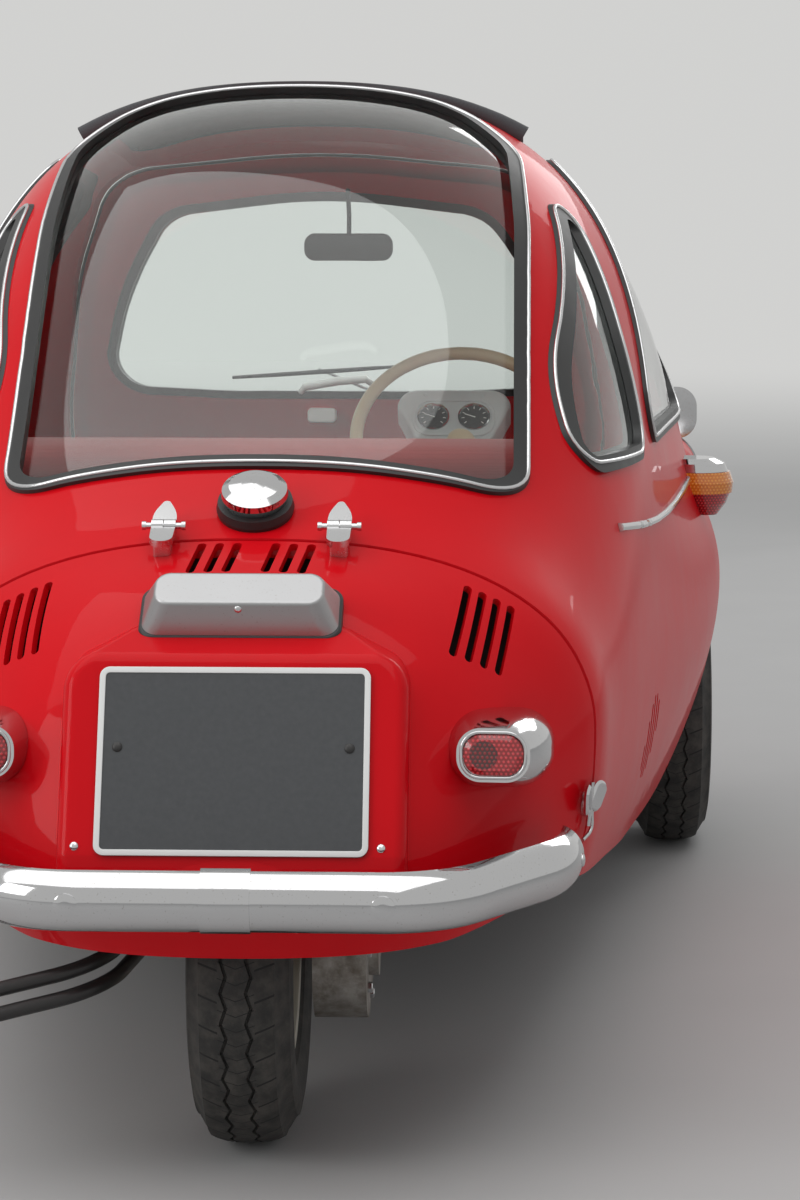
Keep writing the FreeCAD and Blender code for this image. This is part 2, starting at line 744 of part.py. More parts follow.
def largest(shape, point):
    """The solid of a cut that lies nearest to a point."""
    return min(shape.Solids, key=lambda solid: (solid.CenterOfMass - point).Length)


def headlamp_ring():
    rows = [(FIT, HEADLAMP_RADIUS - 14), (FIT, HEADLAMP_RADIUS + 3), (10, HEADLAMP_RADIUS + 2),
            (16, HEADLAMP_RADIUS - 6), (14, HEADLAMP_RADIUS - 14)]
    return revolve_about(rows, HEADLAMP, Y_AXIS)


def headlamp_lens():
    edge = HEADLAMP_RADIUS - 14 - FIT
    rows = [(FIT, 0), (FIT, edge), (8, edge), (18, edge * 0.72), (24, edge * 0.36), (26, 0)]
    return revolve_about(rows, HEADLAMP, Y_AXIS)


def oval_cone(base, direction, up, rows, smooth=False):
    """An oval form along a direction, from (distance, half width, half height) rows."""
    across = direction.cross(up).normalize()
    upward = across.cross(direction).normalize()
    turn = FreeCAD.Rotation(across, upward, direction, "ZYX")
    wires = []
    for along, half_width, half_height in rows:
        corner = 0.9 * min(half_width, half_height)
        wire = rounded([
            (V(-half_width, -half_height, along), corner), (V(half_width, -half_height, along), corner),
            (V(half_width, half_height, along), corner), (V(-half_width, half_height, along), corner)])
        wire.Placement = FreeCAD.Placement(base, turn)
        wires.append(wire)
    return Part.makeLoft(wires, True, not smooth)


def tail_lamp_bezel():
    """A chrome housing whose flanks bulge out to the skin."""
    body = oval_cone(TAIL_LAMP, TAIL_LAMP_OUT, Z_AXIS, TAIL_BEZEL, smooth=True)
    half_width, half_height = TAIL_LENS
    pocket = oval_cone(TAIL_LAMP, TAIL_LAMP_OUT, Z_AXIS, [
        (TAIL_LENS_AT, half_width + FIT, half_height + FIT), (TAIL_LENS_AT + 20, half_width + FIT, half_height + FIT)])
    return largest(body.cut(SEATED).cut(pocket), TAIL_LAMP + TAIL_LAMP_OUT * 100)


def tail_lamp_lens():
    half_width, half_height = TAIL_LENS
    return oval_cone(TAIL_LAMP, TAIL_LAMP_OUT, Z_AXIS, [
        (TAIL_LENS_AT + FIT, half_width, half_height), (TAIL_LENS_AT + 6, half_width - 1, half_height - 1),
        (TAIL_LENS_AT + 9, half_width - 8, half_height - 7)])


# plate and its lamp
PLATE_WIDTH = 317.0
PLATE_HEIGHT = 222.0
PLATE_THICKNESS = 3.0
PLATE_CORNER = 12.0
PLATE_CENTRE_Z = 524.5


def pod_frame(z):
    """A placement on the plate panel: x to the right, y up the panel, z out of it."""
    rise = V(0, POD_FACE_TOP[0] - POD_FACE_LOW[0], POD_FACE_TOP[1] - POD_FACE_LOW[1])
    share = (z - POD_FACE_LOW[1]) / rise.z
    place = V(0, POD_FACE_LOW[0] + share * rise.y, z)
    up = rise.normalize()
    out = V(0, -up.z, up.y)
    return FreeCAD.Placement(place, FreeCAD.Rotation(X_AXIS, up, out, "ZYX"))


def number_plate():
    """A blank plate with rounded corners."""
    half_width = PLATE_WIDTH / 2
    half_height = PLATE_HEIGHT / 2
    wire = rounded([
        (V(-half_width, -half_height, FIT), PLATE_CORNER), (V(half_width, -half_height, FIT), PLATE_CORNER),
        (V(half_width, half_height, FIT), PLATE_CORNER), (V(-half_width, half_height, FIT), PLATE_CORNER)])
    plate = prism(wire, Z_AXIS * PLATE_THICKNESS)
    plate.Placement = pod_frame(PLATE_CENTRE_Z)
    return plate


# the plate lamp: a hipped silver box on a rubber gasket, above the panel
PLATE_LAMP = V(0, -146, 688)
PLATE_LAMP_OUT = V(0, -0.6, 0.8)
PLATE_LAMP_BASE = (117.0, 40.0)
PLATE_LAMP_FACE = (100.0, 26.0)
PLATE_LAMP_RISE = 34.0
PLATE_LAMP_FOOT = -6.0
GASKET_BORDER = 4.0


def plate_lamp_form(rows):
    """A box that tapers along the lamp's axis, from (distance, half width, half height) rows."""
    up = V(0, PLATE_LAMP_OUT.z, -PLATE_LAMP_OUT.y)
    frame = FreeCAD.Placement(PLATE_LAMP, FreeCAD.Rotation(X_AXIS, up, PLATE_LAMP_OUT, "ZYX"))
    wires = []
    for along, half_width, half_height in rows:
        wires.append(rounded([
            (V(-half_width, -half_height, along), 20), (V(half_width, -half_height, along), 20),
            (V(half_width, half_height, along), 20), (V(-half_width, half_height, along), 20)]))
    form = Part.makeLoft(wires, True, True)
    top = max(along for along, _, _ in rows)
    crest = [edge for edge in form.Edges if abs(edge.BoundBox.ZMin - top) < 0.01]
    form = form.makeFillet(5, crest)
    form.Placement = frame
    return form


def plate_lamp_gasket():
    half_width, half_height = PLATE_LAMP_BASE
    ring = [(along, half_width + GASKET_BORDER, half_height + GASKET_BORDER) for along in (-60, PLATE_LAMP_FOOT)]
    return largest(plate_lamp_form(ring).cut(fuse(SEATED, plate_pod(-FIT))), PLATE_LAMP)


def plate_lamp():
    """A silver box with sloping sides and a soft crest."""
    form = plate_lamp_form([(PLATE_LAMP_FOOT + FIT,) + PLATE_LAMP_BASE, (PLATE_LAMP_RISE,) + PLATE_LAMP_FACE])
    return largest(form.cut(fuse(SEATED, plate_pod(-FIT))), PLATE_LAMP)


# filler cap
FILLER = V(0, 72, 782)
FILLER_AXIS = V(0, -0.5, 0.87).normalize()


def filler_grommet():
    rows = [(-40, 0), (-40, 40), (4, 49), (14, 47), (14, 0)]
    return largest(revolve_about(rows, FILLER, FILLER_AXIS).cut(SEATED), FILLER + FILLER_AXIS * 10)


def filler_cap():
    rows = [(14 + FIT, 0), (14 + FIT, 38), (24, 42), (32, 41), (38, 32), (41, 16), (42, 0)]
    return revolve_about(rows, FILLER, FILLER_AXIS)


# lid hinges: a leaf on the body, a leaf on the lid and a pin across
LID_HINGE_X = 109.0
LID_HINGE_Y = 12.0
LID_HINGE_Z = 768.0
LEAF_WIDTH = 30.0
LID_PIN = 4.0


def lid_hinge(side, on_lid):
    """A pointed leaf whose knuckle turns on the hinge pin."""
    x = side * LID_HINGE_X
    direction = -1 if on_lid else 1
    slope = 0.36 if on_lid else 0.56
    half = LEAF_WIDTH / 2
    length = 42
    axis = V(x, LID_HINGE_Y, LID_HINGE_Z)
    if on_lid:
        leaf = [(V(-half, 4, 0), 0), (V(half, 4, 0), 0), (V(half - 1, length + 6, 0), 13), (V(-half + 1, length + 6, 0), 13)]
    else:
        leaf = [(V(-half, 4, 0), 0), (V(half, 4, 0), 0), (V(half, length * 0.55, 0), 60),
                (V(0, length + 14, 0), 5), (V(-half, length * 0.55, 0), 60)]
    leaf = rounded(leaf)
    leaf = prism(leaf, Z_AXIS * 9)
    run = V(0, direction, direction * slope).normalize()
    out = V(0, -run.z, run.y) * (1 if direction > 0 else -1)
    across = run.cross(out)
    leaf.Placement = FreeCAD.Placement(axis - out * 6, FreeCAD.Rotation(across, run, out, "ZYX"))
    foot = prism(rounded([
        (V(-half + 4, 12, 0), 4), (V(half - 4, 12, 0), 4), (V(half - 4, length - 4, 0), 4), (V(-half + 4, length - 4, 0), 4)]),
        Z_AXIS * -40)
    foot.Placement = leaf.Placement
    foot = foot.cut(SEATED)
    foot = largest(foot, axis)
    if on_lid:
        barrels = [cylinder(8, LEAF_WIDTH / 2 - 0.5, V(x - LEAF_WIDTH / 2, LID_HINGE_Y, LID_HINGE_Z), X_AXIS)]
        clear = cylinder(10, LEAF_WIDTH / 2 + 2, V(x - 0.5, LID_HINGE_Y, LID_HINGE_Z), X_AXIS)
    else:
        barrels = [cylinder(8, LEAF_WIDTH / 2 - 0.5, V(x + 0.5, LID_HINGE_Y, LID_HINGE_Z), X_AXIS)]
        clear = cylinder(10, LEAF_WIDTH / 2 + 2, V(x - LEAF_WIDTH / 2 - 1.5, LID_HINGE_Y, LID_HINGE_Z), X_AXIS)
    solid = fuse(leaf.cut(clear), foot, *barrels)
    solid = solid.cut(clear)
    if on_lid:
        solid = solid.cut(cylinder(LID_PIN + FIT, 80, V(x - 40, LID_HINGE_Y, LID_HINGE_Z), X_AXIS))
    else:
        pin = cylinder(LID_PIN, LEAF_WIDTH + 22, V(x - LEAF_WIDTH / 2 - 11, LID_HINGE_Y, LID_HINGE_Z), X_AXIS)
        ends = [cylinder(5.5, 5, V(end, LID_HINGE_Y, LID_HINGE_Z), X_AXIS)
                for end in (x - LEAF_WIDTH / 2 - 12, x + LEAF_WIDTH / 2 + 7)]
        solid = fuse(solid, pin, *ends)
    return solid


# trim on the flanks
STRIP_RADIUS = 6.0
STRIP_BEND = 1500.0
STRIP_Y = (379.0, 1336.0)
STRIP_Z = (726.0, 696.0)
STRIP_SAG = 17.0
INDICATOR_Y = 1415.0
# height, outermost x and half length of each level of the side lamp's three parts
INDICATOR_CAP = [(704, 686, 46), (718, 681, 42), (726, 664, 32)]
INDICATOR_AMBER = [(668, 694, 50), (686, 696, 52), (703.7, 690, 48)]
INDICATOR_RED = [(630, 669, 14), (650, 684, 36), (667.7, 691, 46)]
MIRROR = V(617, 1815, 771)
MIRROR_HALF = (40.0, 47.0)
MIRROR_FOOT = (1720.0, 710.0)


def flank_x(y, z, side_hint=400):
    """Where the outer skin lies at a place on the right flank."""
    line = Part.makeLine(V(side_hint - 150, y, z), V(900, y, z))
    return max(vertex.X for vertex in line.common(OUTER).Vertexes)


def side_strip():
    """A round-ended chrome bead that follows the flank."""
    places = []
    count = 7
    for index in range(count):
        share = index / (count - 1)
        y = STRIP_Y[0] + share * (STRIP_Y[1] - STRIP_Y[0])
        z = STRIP_Z[0] + share * (STRIP_Z[1] - STRIP_Z[0]) - 4 * STRIP_SAG * share * (1 - share)
        places.append(V(flank_x(y, z) + 1.5, y, z))
    path = path_wire([(place, STRIP_BEND) for place in places])
    start = (places[1] - places[0]).normalize()
    bead = sweep(path, Part.Wire([Part.makeCircle(STRIP_RADIUS, places[0], start)]))
    return largest(bead.cut(SEATED), places[count // 2])


def indicator_part(rows):
    """One part of the side lamp: bowed outlines at several heights, joined."""
    wires = []
    for z, outermost, half_length in rows:
        foot_x = flank_x(INDICATOR_Y, z) - 5
        inner = foot_x - 40
        low, high = INDICATOR_Y - half_length, INDICATOR_Y + half_length
        bow = Part.Arc(V(foot_x, low, z), V(outermost, INDICATOR_Y, z), V(foot_x, high, z)).toShape()
        wires.append(Part.Wire([
            Part.makeLine(V(inner, high, z), V(inner, low, z)), Part.makeLine(V(inner, low, z), V(foot_x, low, z)),
            bow, Part.makeLine(V(foot_x, high, z), V(inner, high, z))]))
    part = Part.makeLoft(wires, True, True).cut(SEATED)
    return largest(part, V(rows[1][1], INDICATOR_Y, rows[1][0]))


def mirror():
    """A dished oval mirror on a stem that reaches forward from the belt."""
    half_width, half_height = MIRROR_HALF
    head = oval_cone(MIRROR + Y_AXIS * 14, Y_AXIS * -1, Z_AXIS, [
        (0, half_width - 14, half_height - 14), (12, half_width - 3, half_height - 3), (22, half_width, half_height)])
    y, z = MIRROR_FOOT
    foot = V(flank_x(y, z), y, z)
    reach = MIRROR + V(4, 4, -half_height + 14) - foot
    stem = cylinder(4.5, reach.Length, foot, reach)
    return largest(fuse(head, stem, ball(9, foot)).cut(SEATED), MIRROR)


# roof fabric
SUNROOF_GROW = 26.0
FABRIC_PROUD = 12.0


def sunroof_fabric():
    """The folding roof, lying on the roof edge round its opening."""
    wire = rounded([(V(x, y, 1100), radius) for x, y, radius in SUNROOF])
    cover = prism(wire.makeOffset2D(SUNROOF_GROW), Z_AXIS * 400)
    return skin(-FABRIC_PROUD).common(cover).cut(SEATED)


# door furniture
def door_hinges(on_door):
    """External strap hinges on the right of the front door."""
    run = DOOR_HINGE_TOP - DOOR_HINGE_FOOT
    axis = V(run.x, run.y, run.z).normalize()
    solids = []
    for share in DOOR_HINGE_HEIGHTS:
        centre = DOOR_HINGE_FOOT + run * share
        half = 26
        if on_door:
            barrel = cylinder(HINGE_KNUCKLE, half * 2 / 3 - 1, centre - axis * (half / 3 - 0.5), axis)
            strap = strap_to(centre, axis, half / 3 - 0.5, V(-62, 14, 0), 7)
            barrel = barrel.cut(cylinder(HINGE_PIN + 0.3, 80, centre - axis * 40, axis))
            clear = cylinder(HINGE_PIN + 0.3, 80, centre - axis * 40, axis)
            solid = fuse(barrel, strap).cut(clear)
        else:
            pin = cylinder(HINGE_PIN, 2 * half, centre - axis * half, axis)
            parts = [pin]
            for sign in (1, -1):
                middle = centre + axis * sign * half * 2 / 3
                parts.append(cylinder(HINGE_KNUCKLE, half * 2 / 3 - 0.5, middle - axis * (half / 3 - 0.25), axis))
                parts.append(strap_to(middle, axis, half / 3 - 0.25, V(62, -34, 0), 7))
            solid = fuse(parts[0], *parts[1:])
        solids.append(solid)
    return compound(*solids)


def strap_to(centre, axis, half, reach, thickness):
    """A flat strap from the hinge line to the skin, cut off at the skin."""
    length = reach.Length
    run = V(reach.x, reach.y, reach.z).normalize()
    run = (run - axis * run.dot(axis)).normalize()
    out = run.cross(axis).normalize()
    wire = rounded([
        (V(0, -half, -thickness / 2), 0), (V(length, -half, -thickness / 2), 4),
        (V(length, half, -thickness / 2), 4), (V(0, half, -thickness / 2), 0)])
    strap = prism(wire, Z_AXIS * thickness)
    strap.Placement = FreeCAD.Placement(centre, FreeCAD.Rotation(run, axis, out, "ZYX"))
    sunk = prism(rounded([
        (V(length - 22, -half, 0), 3), (V(length, -half, 0), 3), (V(length, half, 0), 3), (V(length - 22, half, 0), 3)]),
        Z_AXIS * 60)
    towards = -1 if (out.y > 0) else 1
    sunk = sunk.copy()
    if towards < 0:
        sunk.translate(V(0, 0, -60))
    sunk.Placement = FreeCAD.Placement(centre, FreeCAD.Rotation(run, axis, out, "ZYX")).multiply(sunk.Placement)
    whole = fuse(strap, sunk).cut(SEATED)
    return largest(whole, centre)


def door_handle():
    """A lever handle on the left of the door, with its grip along the skin."""
    root = V(-400, skin_y(-400, 640), 640)
    tip = V(-300, skin_y(-300, 640), 640)
    boss = cylinder(17, 60, root - Y_AXIS * 40, Y_AXIS).cut(SEATED)
    boss = largest(boss, root + Y_AXIS * 20)
    start = root + Y_AXIS * 16
    run = tip + Y_AXIS * 24 - start
    grip = cylinder(7, run.Length, start, run)
    return fuse(boss, grip, ball(7, start + run))


def skin_y(x, z):
    """Where the outer skin lies at a place on the nose."""
    line = Part.makeLine(V(x, 1300, z), V(x, 2400, z))
    return max(vertex.Y for vertex in line.common(OUTER).Vertexes)


# the clamps that hold the tail lid shut, one low on each side
LATCH = (0.0, 424.0)
LATCH_LOBE = (13.0, 20.0)
LATCH_LIFT = 8.0


def lid_latch():
    """A butterfly clamp: a block on the lid, a pin, two oval lobes and a hooked rod."""
    y, z = LATCH
    place = V(flank_x(y, z, 300), y, z)
    ahead = V(flank_x(y + 20, z, 300), y + 20, z)
    across = (ahead - place).normalize()
    above = V(flank_x(y, z + 20, 300), y, z + 20)
    up = (above - place)
    up = (up - across * up.dot(across)).normalize()
    out = across.cross(up)
    frame = FreeCAD.Placement(place, FreeCAD.Rotation(across, up, out, "ZYX"))
    block = prism(rounded([(V(-8, -14, -20), 5), (V(8, -14, -20), 5), (V(8, 16, -20), 5), (V(-8, 16, -20), 5)]),
                  Z_AXIS * (22 + LATCH_LIFT))
    pin = cylinder(3, 56, V(0, -26, LATCH_LIFT), Y_AXIS)
    half_width, half_height = LATCH_LOBE
    lobes = []
    for side in (1, -1):
        lobe = oval_cone(V(0, 0, 0), Z_AXIS, Y_AXIS, [(0, half_width - 2, half_height - 2), (3, half_width, half_height),
                                                     (6, half_width - 3, half_height - 3)])
        lobe.rotate(V(0, 0, 0), Z_AXIS, -24 * side)
        lobe.rotate(V(0, 0, 0), Y_AXIS, -14 * side)
        lobe.translate(V(side * 15, 10, LATCH_LIFT))
        lobes.append(lobe)
    hook_path = path_wire([(V(7, -8, LATCH_LIFT), 0), (V(14, -34, LATCH_LIFT), 11), (V(-12, -42, LATCH_LIFT), 0)])
    first = (V(14, -34, LATCH_LIFT) - V(7, -8, LATCH_LIFT)).normalize()
    hook = sweep(hook_path, Part.Wire([Part.makeCircle(2.5, V(7, -8, LATCH_LIFT), first)]))
    clamp = fuse(block, pin, hook, *lobes)
    clamp.Placement = frame
    return largest(clamp.cut(SEATED), place)


# engine, drive and exhaust
ENGINE_BACK_Y = 262.0


def engine_block():
    """The engine ahead of the rear wheel, as one plain block with a rounded case."""
    block = box(-190, 150, ENGINE_BACK_Y, 425, 262, 520)
    sump = box(-150, 110, 275, 410, 225, 263)
    fan = cylinder(78, 60, V(-250, 345, 400), X_AXIS)
    lugs = []
    for x in (-150, 110):
        for z in (300, 480):
            lugs.append(cylinder(16, BULKHEAD_Y - BULKHEAD_THICKNESS - FIT - 420, V(x, 420, z), Y_AXIS))
    return fuse(block, sump, fan, *lugs)


CHAIN_CASE_X = (80.0, 146.0)


def chain_case():
    """The cast case beside the rear wheel that carries its axle."""
    x0, x1 = CHAIN_CASE_X
    axle = V(x0, 0, WHEEL_Z)
    pivot = V(x0, 300, 292)
    tangent = (pivot - axle).normalize()
    side = V(0, -tangent.z, tangent.y)
    rear = cylinder(92, x1 - x0, axle, X_AXIS)
    front = cylinder(62, x1 - x0, pivot, X_AXIS)
    web = [axle + side * 90, pivot + side * 60, pivot - side * 60, axle - side * 90]
    bar = prism(Part.makePolygon(web + [web[0]]), X_AXIS * (x1 - x0))
    boss = cylinder(40, 14, V(x1 - 1, 0, WHEEL_Z), X_AXIS)
    shaft = cylinder(HUB_BORE / 2 - RUNNING_FIT, x0 + 34, V(-33, 0, WHEEL_Z), X_AXIS)
    case = fuse(rear, front, bar, boss, shaft)
    clear = fuse(box(-190 - FIT, 150 + FIT, 262 - FIT, 425 + FIT, 262 - FIT, 520 + FIT),
                 box(-150 - FIT, 110 + FIT, 275 - FIT, 410 + FIT, 225 - FIT, 263))
    return case.cut(clear)


EXHAUST_RADIUS = 9.0


def exhaust_pipes():
    """Two slim pipes that run out to the left under the tail."""
    solids = []
    for lower in (0, 1):
        z = 262 - 27 * lower
        y = -170 - 14 * lower
        points = [(V(-120, ENGINE_BACK_Y + 2, z + 40 - 4 * lower), 0), (V(-140 + 24 * lower, 60, z + 20), 90), (V(-160, y, z), 80), (V(-420, y - 22, z - 62), 0)]
        path = path_wire(points)
        start = points[0][0]
        direction = (points[1][0] - start).normalize()
        circle = Part.Wire([Part.makeCircle(EXHAUST_RADIUS, start, direction)])
        solids.append(sweep(path, circle).cut(box(-190, 150, ENGINE_BACK_Y - FIT, 425, 262, 520)))
    return compound(*solids)


# cabin
SEAT_HALF_WIDTH = 455.0
SEAT_FRONT_Y = 1040.0
SEAT_Z = 430.0


def seat_cushion():
    """A bench cushion across the cabin."""
    low = SEAT_Z
    cushion = box(-SEAT_HALF_WIDTH, SEAT_HALF_WIDTH, SEAT_FRONT_Y - 370, SEAT_FRONT_Y, low, low + 125)
    return cushion.makeFillet(30, cushion.Edges)


def seat_back():
    back = box(-SEAT_HALF_WIDTH + 40, SEAT_HALF_WIDTH - 40, -55, 55, 0, 400)
    back = back.makeFillet(35, back.Edges)
    back.rotate(V(0, 0, 0), X_AXIS, 11)
    back.translate(V(0, 612, SEAT_Z + 4.5))
    return back


def seat_base():
    """A sheet box on the floor that carries the bench."""
    bottom = FLOOR_Z + FLOOR_THICKNESS + FIT
    outside = box(-SEAT_HALF_WIDTH + 20, SEAT_HALF_WIDTH - 20, 520, SEAT_FRONT_Y - 15, bottom, SEAT_Z - FIT)
    hollow = box(-SEAT_HALF_WIDTH + 26, SEAT_HALF_WIDTH - 26, 400, SEAT_FRONT_Y - 21, bottom - 10, SEAT_Z - 6)
    return outside.cut(hollow)


STEERING_WHEEL = V(235, 1330, 765)
COLUMN_TILT = 39.4
WHEEL_RING_RADIUS = 172.0
WHEEL_RING_TUBE = 11.0


def column_direction():
    """Down and forward along the steering column."""
    tilt = math.radians(COLUMN_TILT)
    return V(0, math.cos(tilt), -math.sin(tilt))


def steering_wheel():
    """A thin rim with two spokes and a hub on its shaft."""
    down = column_direction()
    frame = FreeCAD.Placement(STEERING_WHEEL, FreeCAD.Rotation(X_AXIS, down.cross(X_AXIS) * -1, down * -1, "ZXY"))
    rim = Part.makeTorus(WHEEL_RING_RADIUS, WHEEL_RING_TUBE)
    hub = Part.makeCone(34, 22, 30, V(0, 0, -42), Z_AXIS)
    spokes = []
    for side in (1, -1):
        spokes.append(Part.makeCylinder(8, 168, V(side * 10, 0, -30), V(side * 164, -34, 30)))
    shaft = cylinder(9, 60, V(0, 0, -90), Z_AXIS)
    solid = fuse(rim, hub, shaft, *spokes)
    solid.Placement = frame
    return solid


def steering_column():
    """The tube that carries the wheel's shaft down to the floor."""
    down = column_direction()
    start = STEERING_WHEEL + down * 46
    tube = cylinder(19, 640, start, down)
    bore = cylinder(9 + RUNNING_FIT, 48, start - down, down)
    floor = box(-700, 700, 0, 2300, -200, FLOOR_Z + FLOOR_THICKNESS + FIT)
    foot = cylinder(34, 40, start + down * 600, down)
    return fuse(tube.cut(bore), foot).cut(floor)


def instrument_binnacle():
    """A housing on the column with two round dials facing the driver."""
    down = column_direction()
    wire = rounded([
        (V(-66, -62, 0), 22), (V(66, -62, 0), 22), (V(104, 52, 0), 30), (V(-104, 52, 0), 30)])
    body = prism(wire, Z_AXIS * 58)
    for side in (1, -1):
        body = body.cut(cylinder(34, 8, V(side * 44, 8, 50), Z_AXIS))
    frame = FreeCAD.Placement(STEERING_WHEEL + down * 141 + V(0, 0, 44), FreeCAD.Rotation(X_AXIS, down.cross(X_AXIS) * -1, down * -1, "ZXY"))
    body.Placement = frame
    return body.cut(cylinder(19 + FIT, 640, STEERING_WHEEL + down * 40, down))


def pedals():
    """Three pedals on the floor."""
    solids = []
    for x in (150, 240, 330):
        stem = Part.makeCylinder(6, 150, V(x, 1700, FLOOR_Z + FLOOR_THICKNESS + FIT), V(0, -30, 150))
        pad = box(x - 26, x + 26, 1655, 1675, 385, 440)
        floor = box(x - 40, x + 40, 1600, 1800, FLOOR_Z, FLOOR_Z + FLOOR_THICKNESS + FIT)
        solids.append(fuse(stem, pad).cut(floor))
    return compound(*solids)


# save the pieces
save("body_shell", body_shell())
save("floor_pan", floor_pan())
save("rear_bulkhead", rear_bulkhead())
save("tail_lid", tail_lid())
save("front_door", front_door())
save("rear_window", glass(rear_window_tool(PANE_GROW)))
save("rear_window_seal", seal(rear_window_tool))
save("windscreen", glass(windscreen_tool(PANE_GROW)))
save("windscreen_seal", seal(windscreen_tool))
save("side_windows", compound(both_sides(glass(side_window_tool(PANE_GROW))),
                              both_sides(glass(quarter_window_tool(PANE_GROW)))))
save("side_window_seals", compound(both_sides(seal(side_window_tool)), both_sides(seal(quarter_window_tool))))
for name, centre, side in (("rear", REAR_WHEEL, -1), ("front_right", RIGHT_WHEEL, 1), ("front_left", LEFT_WHEEL, -1)):
    save("tyre_" + name, tyre(centre))
    save("rim_" + name, wheel_rim(centre, side))
    save("hub_cap_" + name, hub_cap(centre, side))
save("front_axle", front_axle())
save("knuckle_right", knuckle(1))
save("knuckle_left", knuckle(-1))
save("tie_rod", tie_rod())
save("rear_bumper", bumper(REAR_BUMPER_PATH, REAR_BUMPER_Z, -1))
save("front_bumper", bumper(FRONT_BUMPER_PATH, FRONT_BUMPER_Z, 1))
save("headlamp_pods", both_sides(headlamp_pod()))
save("headlamp_rings", both_sides(headlamp_ring()))
save("headlamp_lenses", both_sides(headlamp_lens()))
save("tail_lamp_bezels", both_sides(tail_lamp_bezel()))
save("tail_lamp_lenses", both_sides(tail_lamp_lens()))
save("number_plate", number_plate())
save("plate_lamp_gasket", plate_lamp_gasket())
save("plate_lamp", plate_lamp())
save("filler_grommet", filler_grommet())
save("filler_cap", filler_cap())
save("lid_hinges_body", compound(lid_hinge(1, False), lid_hinge(-1, False)))
save("lid_hinges_lid", compound(lid_hinge(1, True), lid_hinge(-1, True)))
save("side_strips", both_sides(side_strip()))
save("indicator_caps", both_sides(indicator_part(INDICATOR_CAP)))
save("indicator_lenses", both_sides(indicator_part(INDICATOR_AMBER)))
save("indicator_reds", both_sides(indicator_part(INDICATOR_RED)))
save("mirrors", both_sides(mirror()))
save("sunroof_fabric", sunroof_fabric())
save("door_hinges_body", door_hinges(False))
save("door_hinges_door", door_hinges(True))
save("door_handle", door_handle())
save("lid_latches", both_sides(lid_latch()))
save("engine_block", engine_block())
save("chain_case", chain_case())
save("exhaust_pipes", exhaust_pipes())
save("seat_cushion", seat_cushion())
save("seat_back", seat_back())
save("seat_base", seat_base())
save("steering_wheel", steering_wheel())
save("steering_column", steering_column())
save("instrument_binnacle", instrument_binnacle())
save("pedals", pedals())
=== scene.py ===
import json
import math

import bmesh
import bpy
import numpy
from mathutils import Matrix, Vector
from mathutils.bvhtree import BVHTree

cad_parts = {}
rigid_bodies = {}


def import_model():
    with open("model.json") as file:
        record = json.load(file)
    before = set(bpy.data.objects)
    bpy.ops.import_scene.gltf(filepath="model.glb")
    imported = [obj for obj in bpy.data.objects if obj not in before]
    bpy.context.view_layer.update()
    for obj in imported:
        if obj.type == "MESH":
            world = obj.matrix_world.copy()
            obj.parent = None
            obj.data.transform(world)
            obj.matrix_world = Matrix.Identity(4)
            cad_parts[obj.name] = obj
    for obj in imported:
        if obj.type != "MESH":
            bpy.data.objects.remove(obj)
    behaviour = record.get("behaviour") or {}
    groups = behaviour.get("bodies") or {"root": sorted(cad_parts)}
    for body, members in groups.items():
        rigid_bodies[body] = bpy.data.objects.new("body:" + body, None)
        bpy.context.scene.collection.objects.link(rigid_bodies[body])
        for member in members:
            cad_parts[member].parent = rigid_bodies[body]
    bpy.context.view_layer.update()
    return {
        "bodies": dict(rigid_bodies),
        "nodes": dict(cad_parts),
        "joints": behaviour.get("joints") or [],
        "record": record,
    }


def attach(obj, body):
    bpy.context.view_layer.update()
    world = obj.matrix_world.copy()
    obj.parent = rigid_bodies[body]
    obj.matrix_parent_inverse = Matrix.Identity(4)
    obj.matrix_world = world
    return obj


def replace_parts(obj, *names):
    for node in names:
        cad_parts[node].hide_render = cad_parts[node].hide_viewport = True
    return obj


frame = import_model()
nodes = frame["nodes"]

# the frame's own measures, in metres
MM = 0.001
REAR_AXLE_Y = -0.884

# places and sizes are in millimetres from the rear axle on the road, as in the part's source
WHEELBASE = 1760
WHEEL_Z = 246
FRONT_WHEEL_X = 610


def spot(x, y, z):
    """A point in millimetres from the rear axle on the road, in the row frame."""
    return Vector((x * MM, y * MM + REAR_AXLE_Y, z * MM))


def added(name, data):
    """A new object in the scene, at the origin."""
    piece = bpy.data.objects.new(name, data)
    bpy.context.scene.collection.objects.link(piece)
    return piece


# camera
PHOTO_LONG_SIDE = 1200
FOCAL_PIXELS = 3070
SENSOR = 36
CAMERA_PLACE = spot(320, -3756, 1203)
CAMERA_TURN_LEFT = math.radians(2.07)
CAMERA_TILT_DOWN = math.radians(5.71)
CAMERA_SHIFT = -0.1

lens = bpy.data.cameras.new("camera")
lens.sensor_width = SENSOR
lens.lens = FOCAL_PIXELS / PHOTO_LONG_SIDE * SENSOR
lens.shift_y = CAMERA_SHIFT
lens.clip_end = 100
camera = added("camera", lens)
camera.location = CAMERA_PLACE
camera.rotation_euler = (math.pi / 2 - CAMERA_TILT_DOWN, 0, CAMERA_TURN_LEFT)
bpy.context.scene.camera = camera
bpy.context.scene.view_settings.view_transform = "Standard"


